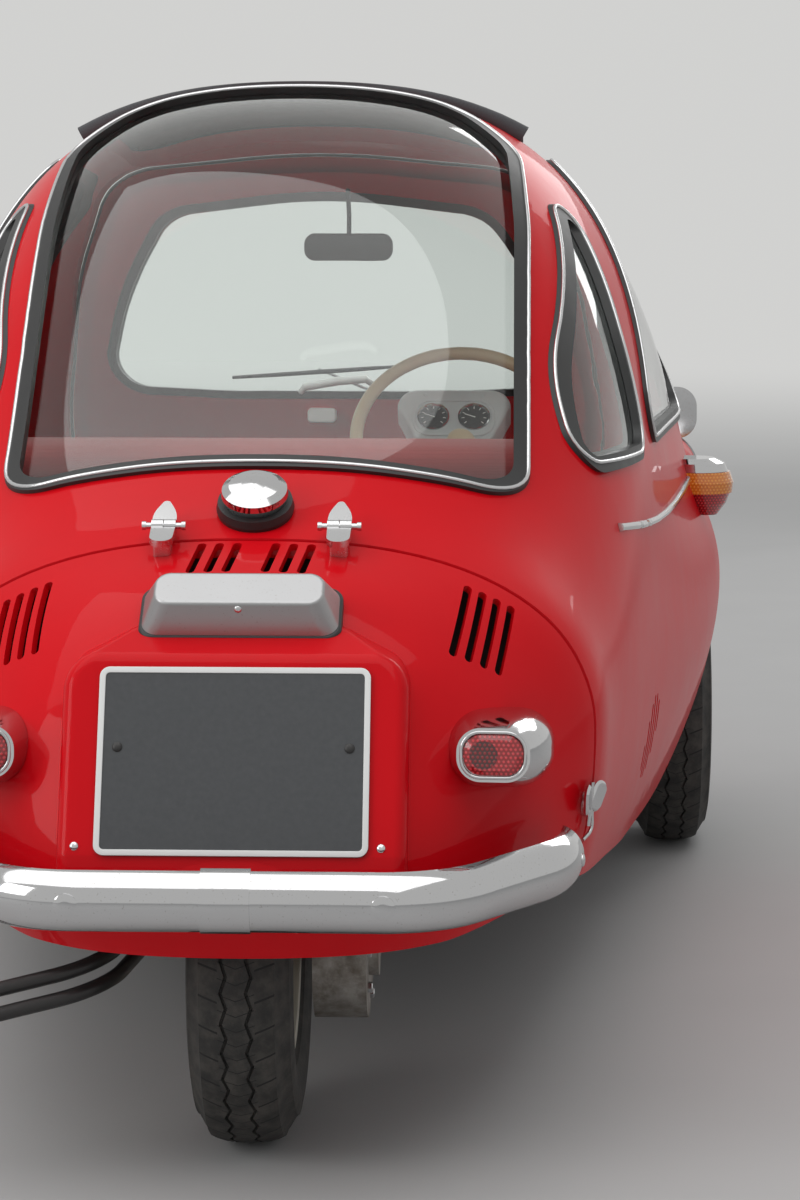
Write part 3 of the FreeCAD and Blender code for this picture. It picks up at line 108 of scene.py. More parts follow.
# shader maths
class Signal:
    """A shader socket that can be used in ordinary arithmetic."""

    def __init__(self, finish, socket):
        self.finish = finish
        self.socket = socket

    def math(self, operation, first, second):
        return self.finish.math(operation, first, second)

    def __add__(self, other):
        return self.math("ADD", self, other)

    def __sub__(self, other):
        return self.math("SUBTRACT", self, other)

    def __mul__(self, other):
        return self.math("MULTIPLY", self, other)

    def __truediv__(self, other):
        return self.math("DIVIDE", self, other)

    def __pow__(self, other):
        return self.math("POWER", self, other)

    def __gt__(self, other):
        return self.math("GREATER_THAN", self, other)

    def __lt__(self, other):
        return self.math("LESS_THAN", self, other)

    def __mod__(self, other):
        return self.math("FLOORED_MODULO", self, other)

    def __radd__(self, other):
        return self.math("ADD", other, self)

    def __rsub__(self, other):
        return self.math("SUBTRACT", other, self)

    def __rmul__(self, other):
        return self.math("MULTIPLY", other, self)

    def __abs__(self):
        return self.math("ABSOLUTE", self, 0.0)

    def at_least(self, other):
        return self.math("MAXIMUM", self, other)

    def at_most(self, other):
        return self.math("MINIMUM", self, other)

    def sine(self):
        return self.math("SINE", self, 0.0)


class Finish:
    """One material, or the world, and the nodes that make it."""

    def __init__(self, name, world=False):
        if world:
            self.data = bpy.data.worlds.new(name)
            self.end = "OutputWorld"
        else:
            self.data = bpy.data.materials.new(name)
            self.end = "OutputMaterial"
        self.data.use_nodes = True
        self.tree = self.data.node_tree
        self.tree.nodes.clear()
        self.places = None

    def node(self, kind, settings=None, sockets=None, output=0):
        """Any shader node: its type, its settings, then the values or links of its sockets."""
        made = self.tree.nodes.new("ShaderNode" + kind)
        for name, value in (settings or {}).items():
            setattr(made, name, value)
        for name, value in (sockets or {}).items():
            socket = made.inputs[name]
            if isinstance(value, Signal):
                self.tree.links.new(value.socket, socket)
            elif socket.type == "RGBA":
                socket.default_value = (*value, 1)
            else:
                socket.default_value = value
        return Signal(self, made.outputs[output]) if made.outputs else None

    def math(self, operation, first, second):
        return self.node("Math", {"operation": operation}, {0: first, 1: second})

    def where(self):
        """Object coordinates, in metres."""
        if self.places is None:
            self.places = self.node("TexCoord", output="Object")
        return self.places

    def axes(self):
        """The three object coordinates as separate numbers."""
        split = self.node("SeparateXYZ", sockets={0: self.where()})
        return [Signal(self, socket) for socket in split.socket.node.outputs]

    def noise(self, scale, detail=2.0, roughness=0.5):
        """Even noise from 0 to 1. The scale is in spots to a metre."""
        return self.node("TexNoise", sockets={"Vector": self.where(), "Scale": scale, "Detail": detail,
                                              "Roughness": roughness})

    def between(self, value, low, high):
        """0 below low, 1 above high and smooth in between."""
        return self.node("MapRange", {"interpolation_type": "SMOOTHSTEP"}, {0: value, 1: low, 2: high})

    def mix(self, share, first, second):
        """A colour between two colours."""
        return self.node("Mix", {"data_type": "RGBA"}, {0: share, 6: first, 7: second}, 2)

    def bump(self, height, depth, strength):
        """A normal from a height that runs from 0 to 1. The depth is in metres."""
        return self.node("Bump", sockets={"Strength": strength, "Distance": depth, "Height": height})

    def surface(self, **sockets):
        """The Principled shader. Socket names are given with underscores."""
        named = {name.replace("_", " "): value for name, value in sockets.items()}
        return self.node("BsdfPrincipled", sockets=named)

    def done(self, shader):
        """Ends the nodes at a shader and gives back the material or world."""
        self.node(self.end, sockets={"Surface": shader})
        return self.data


# finishes
def red_paint():
    """Deep red under a clear coat, with faint dust."""
    paint = Finish("red_paint")
    dust = paint.noise(9, 4, 0.6)
    fine = paint.noise(420, 1)
    colour = paint.mix(dust, (0.62, 0.002, 0.007), (0.69, 0.003, 0.009))
    ripple = paint.bump(paint.noise(60, 2), 0.00025, 0.25)
    return paint.done(paint.surface(
        Base_Color=colour, Roughness=0.34 + 0.10 * dust + 0.03 * fine, Specular_IOR_Level=0.05,
        Coat_Weight=0.3, Coat_Roughness=0.03, Coat_IOR=1.4, Normal=ripple))


def chrome(name, tone, dull):
    """Plated metal with a thin film and a few specks."""
    metal = Finish(name)
    film = metal.noise(14, 4, 0.6)
    specks = metal.between(metal.noise(340, 2), 0.66, 0.72)
    colour = metal.mix(specks * 0.35, (tone, tone, tone * 1.01), (0.28, 0.25, 0.22))
    return metal.done(metal.surface(
        Base_Color=colour, Metallic=1.0, Roughness=dull + 0.07 * film + 0.12 * specks,
        Normal=metal.bump(metal.noise(45, 2), 0.0003, 0.15)))


def glass(name, colour):
    """Clear glazing that lets lamp light through to the cabin."""
    pane = Finish(name)
    film = pane.between(pane.noise(3.5, 3, 0.6), 0.42, 0.85)
    body = pane.surface(
        Base_Color=colour, Roughness=0.015 * film, Transmission_Weight=1.0, IOR=1.45)
    clear = pane.node("BsdfTransparent", sockets={"Color": (0.9, 0.93, 0.92)})
    shadow = pane.node("LightPath", output="Is Shadow Ray")
    return pane.done(pane.node("MixShader", sockets={0: shadow, 1: body, 2: clear}))


def rubber(name, tone, gloss):
    """Black rubber with a grey bloom."""
    skin = Finish(name)
    bloom = skin.noise(30, 4, 0.6)
    colour = skin.mix(bloom, (tone * 0.7, tone * 0.7, tone * 0.72), (tone * 1.5, tone * 1.5, tone * 1.5))
    return skin.done(skin.surface(
        Base_Color=colour, Roughness=gloss + 0.2 * bloom, Normal=skin.bump(skin.noise(900, 2), 0.0002, 0.3)))


# tyres, which the tread's finish and its form share
TEETH = 40
TYRE_OUTER = 246.0
TREAD_HALF = 45.0
TREAD_DEEPEST = 10.0
RIB_HALF = 22.0


def tyre_rubber(name, home):
    """Black with road dust, with a cut across each shoulder tooth and fine slits in the middle rib, all
    painted near black as the shade inside them.
    """
    skin = Finish(name)
    x, y, z = skin.axes()
    across = abs(x - home.x)
    turn = skin.math("ARCTAN2", z - home.z, y - home.y) * (TEETH / math.tau)
    reach = ((y - home.y) ** 2.0 + (z - home.z) ** 2.0) ** 0.5
    tread = reach > (TYRE_OUTER - TREAD_DEEPEST) * MM
    shoulder = (across > RIB_HALF * MM) * (across < (TREAD_HALF + 5) * MM)
    tooth = abs((turn + across * 9) % 1.0 - 0.5)
    slit = abs((turn * 2 + across * 20) % 1.0 - 0.5)
    cuts = tread * (shoulder * (tooth < 0.035)).at_least((1 - shoulder) * (slit < 0.03))
    dust = skin.noise(38, 5, 0.65)
    worn = skin.mix(skin.between(dust, 0.3, 0.8), (0.020, 0.019, 0.018), (0.075, 0.068, 0.06))
    # painted shade: the cuts are near black, darker than the bare rubber, as the shade inside them
    return skin.done(skin.surface(
        Base_Color=skin.mix(cuts, worn, (0.008, 0.008, 0.008)), Roughness=0.66 + 0.2 * dust,
        Normal=skin.bump(skin.noise(600, 3) * 0.2 - cuts, 0.002, 0.6)))


def painted_steel(name, dark, pale, gloss):
    """Chassis or wheel paint, worn in patches."""
    paint = Finish(name)
    wear = paint.noise(22, 5, 0.6)
    grain = paint.noise(500, 2)
    return paint.done(paint.surface(
        Base_Color=paint.mix(wear, dark, pale), Roughness=gloss + 0.16 * wear,
        Normal=paint.bump(grain, 0.0003, 0.3)))


def cast_metal():
    """Sand-cast metal with oily stains."""
    metal = Finish("cast_metal")
    stain = metal.noise(18, 5, 0.65)
    grain = metal.noise(260, 3)
    colour = metal.mix(metal.between(stain, 0.35, 0.7), (0.42, 0.40, 0.37), (0.16, 0.135, 0.11))
    return metal.done(metal.surface(
        Base_Color=colour, Metallic=0.75, Roughness=0.42 + 0.3 * stain,
        Normal=metal.bump(grain, 0.0009, 0.5)))


def lamp_lens(name, deep, bright, pitch, reflector=0.0):
    """Coloured plastic with a honeycomb of moulded spots painted brighter as glints, and a darker round
    reflector on the tail lamps.
    """
    plastic = Finish(name)
    x, y, z = plastic.axes()
    row = pitch * math.sqrt(3)
    first = ((x / pitch) % 1.0 - 0.5) ** 2.0 + 3 * ((z / row) % 1.0 - 0.5) ** 2.0
    second = ((x / pitch + 0.5) % 1.0 - 0.5) ** 2.0 + 3 * ((z / row + 0.5) % 1.0 - 0.5) ** 2.0
    dots_and_glints = 1 - plastic.between(first.at_most(second) ** 0.5, 0.2, 0.36)
    # painted glints: the moulded dots take the bright colour, as light from the bowl shining through them
    colour = plastic.mix(dots_and_glints, deep, bright)
    if reflector:
        away = ((abs(x) - REFLECTOR_X) ** 2.0 + (z - REFLECTOR_Z) ** 2.0) ** 0.5
        darker = plastic.mix(dots_and_glints, tuple(0.25 * part for part in deep), deep)
        colour = plastic.mix(away < reflector, colour, darker)
    return plastic.done(plastic.surface(
        Base_Color=colour, Roughness=0.12, Coat_Weight=1.0, Coat_Roughness=0.03,
        Normal=plastic.bump(dots_and_glints, 0.0008, 0.6)))


# the middles of the round spots in the lamps, in metres in the row frame
REFLECTOR_X = 0.290
REFLECTOR_Z = 0.531
BULB_X = 0.6
BULB_Z = 0.648
FLUTE = 0.011


def headlamp_glass():
    """Fluted glass over a bright bowl, with pale and dark bands painted along the flutes as highlights and
    shade, and a darker centre where the bulb sits.
    """
    front = Finish("headlamp_glass")
    x, y, z = front.axes()
    flutes_and_highlights = abs((x * (math.pi / FLUTE)).sine())
    away = ((abs(x) - BULB_X) ** 2.0 + (z - BULB_Z) ** 2.0) ** 0.5
    bulb = 1 - front.between(away, 0.008, 0.024)
    # painted highlights and shade: the flutes are coloured in pale and dark bands
    shade = front.mix(flutes_and_highlights, (0.50, 0.52, 0.53), (0.82, 0.84, 0.85))
    return front.done(front.surface(
        Base_Color=front.mix(bulb * 0.6, shade, (0.30, 0.28, 0.24)), Metallic=0.65,
        Roughness=0.22 + 0.1 * flutes_and_highlights, Coat_Weight=1.0, Coat_Roughness=0.02,
        Normal=front.bump(flutes_and_highlights, 0.0012, 0.7)))


def cloth(name, dark, pale, thread):
    """A plain weave whose low parts are painted darker, as the shade between the threads, and which is faded
    in patches. The thread's pitch is in metres.
    """
    weave = Finish(name)
    x, y, z = weave.axes()
    across = ((x + z * 0.7) * (math.tau / thread)).sine()
    along = ((y - z * 0.7) * (math.tau / thread)).sine()
    height = abs(across) * 0.5 + abs(along) * 0.5
    fade = weave.noise(7, 4, 0.6)
    # painted shade from the weave's height, mixed with real fading from the noise
    shade = height * 0.5 + fade * 0.5
    return weave.done(weave.surface(
        Base_Color=weave.mix(shade, dark, pale), Roughness=0.85, Sheen_Weight=0.2,
        Normal=weave.bump(height, 0.0005, 0.6)))


def plate_enamel():
    """Charcoal plate with tiny press marks."""
    enamel = Finish("plate_enamel")
    marks = enamel.noise(150, 3)
    return enamel.done(enamel.surface(
        Base_Color=enamel.mix(marks, (0.035, 0.038, 0.042), (0.055, 0.058, 0.062)),
        Roughness=0.32 + 0.1 * marks, Coat_Weight=0.5, Coat_Roughness=0.2,
        Normal=enamel.bump(marks, 0.0003, 0.3)))


def smooth_plastic(name, dark, pale, gloss):
    """Moulded plastic of nearly one colour."""
    plastic = Finish(name)
    tone = plastic.noise(12, 3)
    return plastic.done(plastic.surface(
        Base_Color=plastic.mix(tone, dark, pale), Roughness=gloss + 0.08 * tone,
        Normal=plastic.bump(plastic.noise(700, 1), 0.0002, 0.2)))


RED = red_paint()
CHROME = chrome("chrome", 0.60, 0.05)
SILVER = chrome("silver_housing", 0.40, 0.36)
BRIGHT_STEEL = chrome("bright_steel", 0.66, 0.2)
CLEAR = glass("clear_glass", (0.93, 0.97, 0.95))
RUBBER = rubber("black_rubber", 0.018, 0.34)
DARK_STEEL = painted_steel("dark_steel", (0.012, 0.012, 0.013), (0.035, 0.032, 0.03), 0.35)
WHEEL_PAINT = painted_steel("wheel_paint", (0.62, 0.58, 0.48), (0.72, 0.68, 0.58), 0.3)
CAST = cast_metal()
AMBER = lamp_lens("amber_lens", (0.72, 0.2, 0.01), (0.9, 0.36, 0.04), 0.006)
RED_LENS = lamp_lens("red_lens", (0.30, 0.004, 0.008), (0.72, 0.03, 0.04), 0.0055, reflector=0.0165)
HEADLAMP_GLASS = headlamp_glass()
ROOF_FABRIC = cloth("roof_fabric", (0.025, 0.026, 0.028), (0.07, 0.07, 0.075), 0.0022)
SEAT_CLOTH = cloth("seat_cloth", (0.16, 0.012, 0.014), (0.3, 0.03, 0.03), 0.003)
PLATE_DARK = plate_enamel()
CREAM = smooth_plastic("cream_rim", (0.66, 0.52, 0.33), (0.76, 0.63, 0.44), 0.25)
GREY_HOUSING = smooth_plastic("grey_housing", (0.55, 0.57, 0.58), (0.68, 0.7, 0.7), 0.35)
WHITE_PLASTIC = smooth_plastic("white_plastic", (0.78, 0.78, 0.76), (0.86, 0.86, 0.84), 0.35)

# the finish of each CAD piece; what isn't named is dark steel
DRESSED = [
    (RED, "body_shell tail_lid front_door headlamp_pods seat_base"),
    (CLEAR, "rear_window windscreen side_windows"),
    (HEADLAMP_GLASS, "headlamp_lenses"),
    (RUBBER, "rear_window_seal windscreen_seal side_window_seals plate_lamp_gasket filler_grommet"),
    (WHEEL_PAINT, "rim_rear rim_front_left rim_front_right"),
    (CHROME, "hub_cap_rear hub_cap_front_left hub_cap_front_right rear_bumper front_bumper headlamp_rings"),
    (CHROME, "tail_lamp_bezels filler_cap side_strips indicator_caps mirrors door_handle lid_latches"),
    (BRIGHT_STEEL, "lid_hinges_body lid_hinges_lid door_hinges_body door_hinges_door"),
    (SILVER, "plate_lamp"),
    (AMBER, "indicator_lenses"),
    (RED_LENS, "indicator_reds tail_lamp_lenses"),
    (PLATE_DARK, "number_plate"),
    (CAST, "engine_block chain_case"),
    (ROOF_FABRIC, "sunroof_fabric"),
    (SEAT_CLOTH, "seat_cushion seat_back"),
    (CREAM, "steering_wheel"),
    (GREY_HOUSING, "instrument_binnacle"),
]


def dress(piece, finish):
    """Gives a piece its one material."""
    piece.data.materials.clear()
    piece.data.materials.append(finish)


for node_piece in nodes.values():
    dress(node_piece, DARK_STEEL)
for node_finish, node_names in DRESSED:
    for node_name in node_names.split():
        dress(nodes[node_name], node_finish)


# makers; what set_at_frame wraps is built at the origin in millimetres first
def facing(centre, outward, up=(0, 0, 1)):
    """A frame at a place: x across, y up and z outward."""
    out = Vector(outward).normalized()
    across = Vector(up).cross(out)
    if across.length < 0.01:
        across = Vector((1, 0, 0)).cross(out)
    across.normalize()
    return Matrix.Translation(centre) @ Matrix((across, out.cross(across), out)).transposed().to_4x4()


def shifted(frame, x, y, z=0.0):
    """The frame moved along its own axes, in millimetres."""
    return frame @ Matrix.Translation(Vector((x, y, z)) * MM)


def set_at_frame(maker):
    """Turns a maker at the origin into one that sets its shape at a frame."""

    def make(shape, frame, *measures, **more):
        known = set(shape.verts)
        maker(shape, *measures, **more)
        fresh = [vert for vert in shape.verts if vert not in known]
        bmesh.ops.transform(shape, matrix=frame @ Matrix.Scale(MM, 4), verts=fresh)
        return fresh

    return make


@set_at_frame
def turned(shape, rows, steps=32):
    """A form spun about z from rows of radius and height."""
    line = [shape.verts.new((radius, 0, along)) for radius, along in rows]
    run = [shape.edges.new(pair) for pair in zip(line, line[1:])]
    bmesh.ops.spin(shape, geom=line + run, cent=(0, 0, 0), axis=(0, 0, 1), dvec=(0, 0, 0), angle=math.tau,
                   steps=steps, use_merge=True)


@set_at_frame
def slab(shape, width, height, corner, depth, soft=0.0, border=0.0):
    """A plate with round corners, or only its border, that rises along z."""
    flat = bmesh.ops.create_grid(shape, x_segments=1, y_segments=1, size=0.5,
                                 matrix=Matrix.Diagonal((width, height, 1, 1)))["verts"]
    cut = bmesh.ops.bevel(shape, geom=flat, offset=corner, affect="VERTICES", segments=7, profile=0.5,
                          material=-1)
    faces = [cut["verts"][0].link_faces[0]]
    if border:
        ring = bmesh.ops.inset_region(shape, faces=faces, thickness=border, use_boundary=True,
                                       use_even_offset=True)["faces"]
        bmesh.ops.delete(shape, geom=faces, context="FACES")
        faces = ring
    grown = bmesh.ops.extrude_face_region(shape, geom=faces)["geom"]
    top = {item for item in grown if isinstance(item, bmesh.types.BMVert)}
    bmesh.ops.translate(shape, vec=(0, 0, depth), verts=list(top))
    if soft:
        rim = [edge for edge in shape.edges if set(edge.verts) <= top
               and any(not set(face.verts) <= top for face in edge.link_faces)]
        bmesh.ops.bevel(shape, geom=rim, offset=soft, affect="EDGES", segments=3, profile=0.5, material=-1)


def tube(shape, points, radius, closed=False, segments=10, up=(0, 0, 1)):
    """A round bead along points, with its ends closed."""
    count = len(points)
    sizes = radius if isinstance(radius, list) else [radius] * count
    rings = []
    for index, point in enumerate(points):
        ends = not closed and index in (0, count - 1)
        before = points[index - 1] if closed or index else point
        after = points[(index + 1) % count] if closed or index < count - 1 else point
        frame = facing(point, after - before, up)
        ring = bmesh.ops.create_circle(shape, cap_ends=ends, segments=segments, radius=sizes[index] * MM,
                                       matrix=frame)["verts"]
        rings.append(list(dict.fromkeys(edge for vert in ring for edge in vert.link_edges)))
    if closed:
        rings.append(rings[0])
    for first, second in zip(rings, rings[1:]):
        bmesh.ops.bridge_loops(shape, edges=first + second)


def ridden(name, mesh, finish, body):
    """A piece from a mesh, dressed, which rides on a body."""
    piece = added(name, mesh)
    dress(piece, finish)
    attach(piece, body)
    return piece


def mesh_of(name, shape):
    """A smooth-shaded mesh from a bmesh, which ends there."""
    mesh = bpy.data.meshes.new(name)
    shape.to_mesh(mesh)
    shape.free()
    mesh.shade_smooth()
    return mesh


def finished(name, shape, finish, body, crease=35):
    """A smooth-shaded piece from a bmesh, which rides on a body."""
    bmesh.ops.remove_doubles(shape, verts=shape.verts, dist=2e-6)
    bmesh.ops.recalc_face_normals(shape, faces=shape.faces)
    mesh = mesh_of(name, shape)
    mesh.set_sharp_from_angle(angle=math.radians(crease))
    return ridden(name, mesh, finish, body)


TREES = {}


def landing(node, start, direction):
    """Where a straight line first meets a CAD node, and the way out of it there."""
    if node not in TREES:
        mesh = nodes[node].data
        TREES[node] = BVHTree.FromPolygons([vert.co.copy() for vert in mesh.vertices],
                                           [list(face.vertices) for face in mesh.polygons])
    landed, normal, _, _ = TREES[node].ray_cast(start, direction)
    return landed, normal


def merged_copy(node_name):
    """The mesh of a CAD node with its loose triangles joined."""
    shape = bmesh.new()
    shape.from_mesh(nodes[node_name].data)
    bmesh.ops.remove_doubles(shape, verts=shape.verts, dist=1e-5)
    return shape


def dome(shape, frame, radius, height):
    """A round-headed screw or bolt."""
    rows = [(radius, -1), (radius, height * 0.25), (radius * 0.8, height * 0.7),
            (radius * 0.4, height * 0.95), (0, height)]
    turned(shape, frame, rows, steps=20)


# number plate and panel screws
PLATE_WIDTH = 317
PLATE_HEIGHT = 222
PLATE_CORNER = 12
PLATE_BORDER = 7
PLATE_FACE = 3.3
PLATE_FRAME = facing(spot(0, -258.4, 524.5), (0, -218, 87.5))
PLATE_BOLT_X = 135
PLATE_BOLT_Y = 15.6
PANEL_SCREW_X = (-181, 173)
PANEL_SCREW_Y = -100
LAMP_SCREW = facing(spot(0, -184.6, 692), (0, -0.953, -0.3))


def plate_trim():
    """The plate's pale border and bolts, and the screws of the panel and the plate lamp."""
    border = bmesh.new()
    slab(border, shifted(PLATE_FRAME, 0, 0, PLATE_FACE - 0.2), PLATE_WIDTH, PLATE_HEIGHT, PLATE_CORNER, 1.4,
         soft=0.5, border=PLATE_BORDER)
    finished("plate_border", border, WHITE_PLASTIC, "lid")
    bolts = bmesh.new()
    for x in (-PLATE_BOLT_X, PLATE_BOLT_X):
        dome(bolts, shifted(PLATE_FRAME, x, PLATE_BOLT_Y, PLATE_FACE), 6, 3)
    finished("plate_bolts", bolts, DARK_STEEL, "lid")
    screws = bmesh.new()
    for x in PANEL_SCREW_X:
        dome(screws, shifted(PLATE_FRAME, x, PANEL_SCREW_Y), 5, 2.5)
    dome(screws, LAMP_SCREW, 4.5, 2.5)
    finished("panel_screws", screws, BRIGHT_STEEL, "lid")


# tail lamps and bumper bolts
TAIL_LAMP = (310, -120, 520)
TAIL_OUT = Vector((-9, -125, 11)).normalized()
TAIL_FACE = 123
TAIL_WIDTH = 79
TAIL_HEIGHT = 57
TAIL_CORNER = 24
BUMPER_Z = 383
BUMPER_BOLT = (179, -383.8)
BUMPER_END_BOLT = (408, -132)


def tail_trim():
    """The bead round each tail lamp, and the bumper's bolts."""
    beads = bmesh.new()
    bolts = bmesh.new()
    x, y, z = TAIL_LAMP
    for side in (1, -1):
        out = Vector((TAIL_OUT.x * side, TAIL_OUT.y, TAIL_OUT.z))
        frame = facing(spot(x * side, y, z) + out * TAIL_FACE * MM, out)
        slab(beads, shifted(frame, 0, 0, -1.5), TAIL_WIDTH, TAIL_HEIGHT, TAIL_CORNER, 4, soft=1.5, border=4)
        bolt_x, bolt_y = BUMPER_BOLT
        dome(bolts, facing(spot(bolt_x * side, bolt_y, BUMPER_Z), (0, -1, 0)), 14, 3.6)
        bolt_x, bolt_y = BUMPER_END_BOLT
        dome(bolts, facing(spot(bolt_x * side, bolt_y, BUMPER_Z), (side, -0.1, 0)), 8, 3.5)
    finished("tail_lamp_beads", beads, CHROME, "lid")
    finished("bumper_bolts", bolts, CHROME, "lid")


# tyres with zigzag grooves
GROOVE_AT = 15.0
GROOVE_DEPTH = 5.0
ZIGZAG = 3.2
BEAD_DROP = 117
TYRES = [
    ("tyre_rear", spot(0, 0, WHEEL_Z), "rear_wheel"),
    ("tyre_front_left", spot(-FRONT_WHEEL_X, WHEELBASE, WHEEL_Z), "left_wheel"),
    ("tyre_front_right", spot(FRONT_WHEEL_X, WHEELBASE, WHEEL_Z), "right_wheel"),
]


def treaded_tyre(name, home, body):
    """A cross-ply tyre: three ribs, two zigzag grooves, notched shoulders and ringed walls."""
    # half of the section, as the distance from the middle and the drop below the tread
    half = [(0, 0), (GROOVE_AT - 2.2, 0.4), (GROOVE_AT - 1.2, GROOVE_DEPTH),
            (GROOVE_AT + 1.2, GROOVE_DEPTH + 0.3), (GROOVE_AT + 2.2, 0.8), (26, 1.8),
            (TREAD_HALF - 6, 5.5), (TREAD_HALF, 8.5), (TREAD_HALF + 1, 13), (TREAD_HALF + 6, 20),
            (58, 32), (61, 34), (61.5, 37), (63.6, 47), (63.8, 62), (62.6, 66), (61.6, 70), (60, 82),
            (56, 94), (54.5, 95), (52, 99), (48.5, 106), (47.6, 116.6), (40, BEAD_DROP)]
    rows = [(TYRE_OUTER - drop, x) for x, drop in reversed(half)]
    rows += [(TYRE_OUTER - drop, -x) for x, drop in half[1:]]
    rows += [(TYRE_OUTER - BEAD_DROP, 0), rows[0]]
    shape = bmesh.new()
    turned(shape, facing(home, (1, 0, 0)), rows, steps=2 * TEETH)
    bmesh.ops.remove_doubles(shape, verts=shape.verts, dist=2e-6)
    for vert in shape.verts:
        arm = vert.co - home
        radius = math.hypot(arm.y, arm.z) / MM
        step = round(math.atan2(arm.z, arm.y) / math.tau * 2 * TEETH)
        if radius > TYRE_OUTER - GROOVE_DEPTH - 1.5 and abs(abs(arm.x / MM) - GROOVE_AT) < 4:
            vert.co.x += ZIGZAG * MM * (1 if step % 2 else -1)
    tyre = finished(name, shape, tyre_rubber(name + "_rubber", home), body, crease=28)
    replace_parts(tyre, name)


# windows
OUTER_LEAN = 0.35
SHORTEST_LOOP = 12
CABIN_MIDDLE = Vector((0, 0.1, 0.72))
SHEET_POWERS = [(i, j) for i in range(6) for j in range(6 - i)]
PANE_LEAN = 0.6
STRIP_RADIUS = 3.0
STRIP_OUT = 7.0
STRIP_LIFT = 40.0
STRIP_PITCH = 0.012
WINDOWS = [
    # node, seal, filler strip, smooth pane, body
    ("rear_window", "rear_window_seal", "rear_window_strip", "rear_pane", "chassis"),
    ("windscreen", "windscreen_seal", "windscreen_strip", "front_pane", "door"),
    ("side_windows", "side_window_seals", "side_window_strips", "side_panes", "chassis"),
]


def out_from_car(point):
    """Roughly the way out of the cabin at a point."""
    return (point - CABIN_MIDDLE).normalized()


def outer_loops(shape, towards):
    """The edge loops round the outer skins of a shape, as lists of points and normals."""
    shape.edges.index_update()
    shape.normal_update()
    inner = [face for face in shape.faces
             if face.normal.dot(towards(face.calc_center_median())) < OUTER_LEAN]
    bmesh.ops.delete(shape, geom=inner, context="FACES")
    shape.normal_update()
    waiting = {edge for edge in shape.edges if edge.is_boundary}
    loops = []
    while waiting:
        edge = min(waiting, key=lambda item: item.index)
        vert = edge.verts[0]
        loop = []
        while edge:
            waiting.discard(edge)
            loop.append((vert.co.copy(), vert.normal.copy()))
            vert = edge.other_vert(vert)
            edge = next((other for other in vert.link_edges if other in waiting), None)
        if len(loop) > SHORTEST_LOOP:
            loops.append(loop)
    return loops


def even(points, pitch):
    """A closed run of points resampled at an even pitch."""
    lengths = [(after - point).length for point, after in zip(points, points[1:] + points[:1])]
    total = sum(lengths)
    count = max(12, round(total / pitch))
    spaced = []
    index = 0
    gone = 0.0
    for step in range(count):
        goal = total * step / count
        while gone + lengths[index] < goal:
            gone += lengths[index]
            index += 1
        share = (goal - gone) / max(lengths[index], 1e-9)
        spaced.append(points[index].lerp(points[(index + 1) % len(points)], share))
    return spaced


def joined_to(vert):
    """All the corners that edges join to one corner, in the order of their indices."""
    patch = {vert}
    fresh = {vert}
    while fresh:
        fresh = {edge.other_vert(near) for near in fresh for edge in near.link_edges} - patch
        patch |= fresh
    return sorted(patch, key=lambda item: item.index)


def even_normals(shape):
    """A smooth normal for each corner of the panes, from a curved sheet fitted to each one's outer side."""
    waiting = set(shape.verts)
    normals = {}
    while waiting:
        patch = joined_to(min(waiting, key=lambda vert: vert.index))
        waiting -= set(patch)
        middle = sum((vert.co for vert in patch), Vector()) / len(patch)
        out = out_from_car(middle)
        frame = facing(middle, out)
        inverse = frame.inverted()
        turn = frame.to_3x3()
        local = numpy.array([inverse @ vert.co for vert in patch if vert.normal.dot(out) > 0])
        terms = numpy.stack([local[:, 0] ** i * local[:, 1] ** j for i, j in SHEET_POWERS], axis=1)
        weights, *_ = numpy.linalg.lstsq(terms, local[:, 2], rcond=None)
        for vert in patch:
            u, v, _ = inverse @ vert.co
            slope_u = sum(w * i * u ** max(i - 1, 0) * v ** j for w, (i, j) in zip(weights, SHEET_POWERS))
            slope_v = sum(w * j * u ** i * v ** max(j - 1, 0) for w, (i, j) in zip(weights, SHEET_POWERS))
            normals[vert.index] = (turn @ Vector((-slope_u, -slope_v, 1))).normalized()
    return normals


def fitted_panes(node):
    """A merged copy of some panes, and the even normal of each of its corners."""
    shape = merged_copy(node)
    bmesh.ops.dissolve_degenerate(shape, dist=1e-5, edges=shape.edges)
    shape.verts.index_update()
    shape.normal_update()
    return shape, even_normals(shape)


def filler_strips(name, node, seal, body):
    """A bright bead let into the middle of each window seal."""
    shape, normals = fitted_panes(node)
    guides = [(vert.co.copy(), normals[vert.index]) for vert in shape.verts]
    loops = outer_loops(shape, out_from_car)
    shape.free()
    beads = bmesh.new()
    for loop in loops:
        spaced = even([point for point, _ in loop], STRIP_PITCH)
        middle = sum((point for point, _ in loop), Vector()) / len(loop)
        path = []
        for index, point in enumerate(spaced):
            along = (spaced[(index + 1) % len(spaced)] - spaced[index - 1]).normalized()
            near = min(guides, key=lambda guide: (guide[0] - point).length)[1]
            out = along.cross(near).normalized()
            if out.dot(point - middle) < 0:
                out.negate()
            lifted = point + out * STRIP_OUT * MM + near * STRIP_LIFT * MM
            landed, _ = landing(seal, lifted, -near)
            if landed and (landed - lifted).length < 2 * STRIP_LIFT * MM:
                path.append(landed)
        normal = sum((normal for _, normal in loop), Vector()).normalized()
        tube(beads, even(path, STRIP_PITCH), STRIP_RADIUS, closed=True, segments=8, up=normal)
    finished(name, beads, BRIGHT_STEEL, body, crease=60)


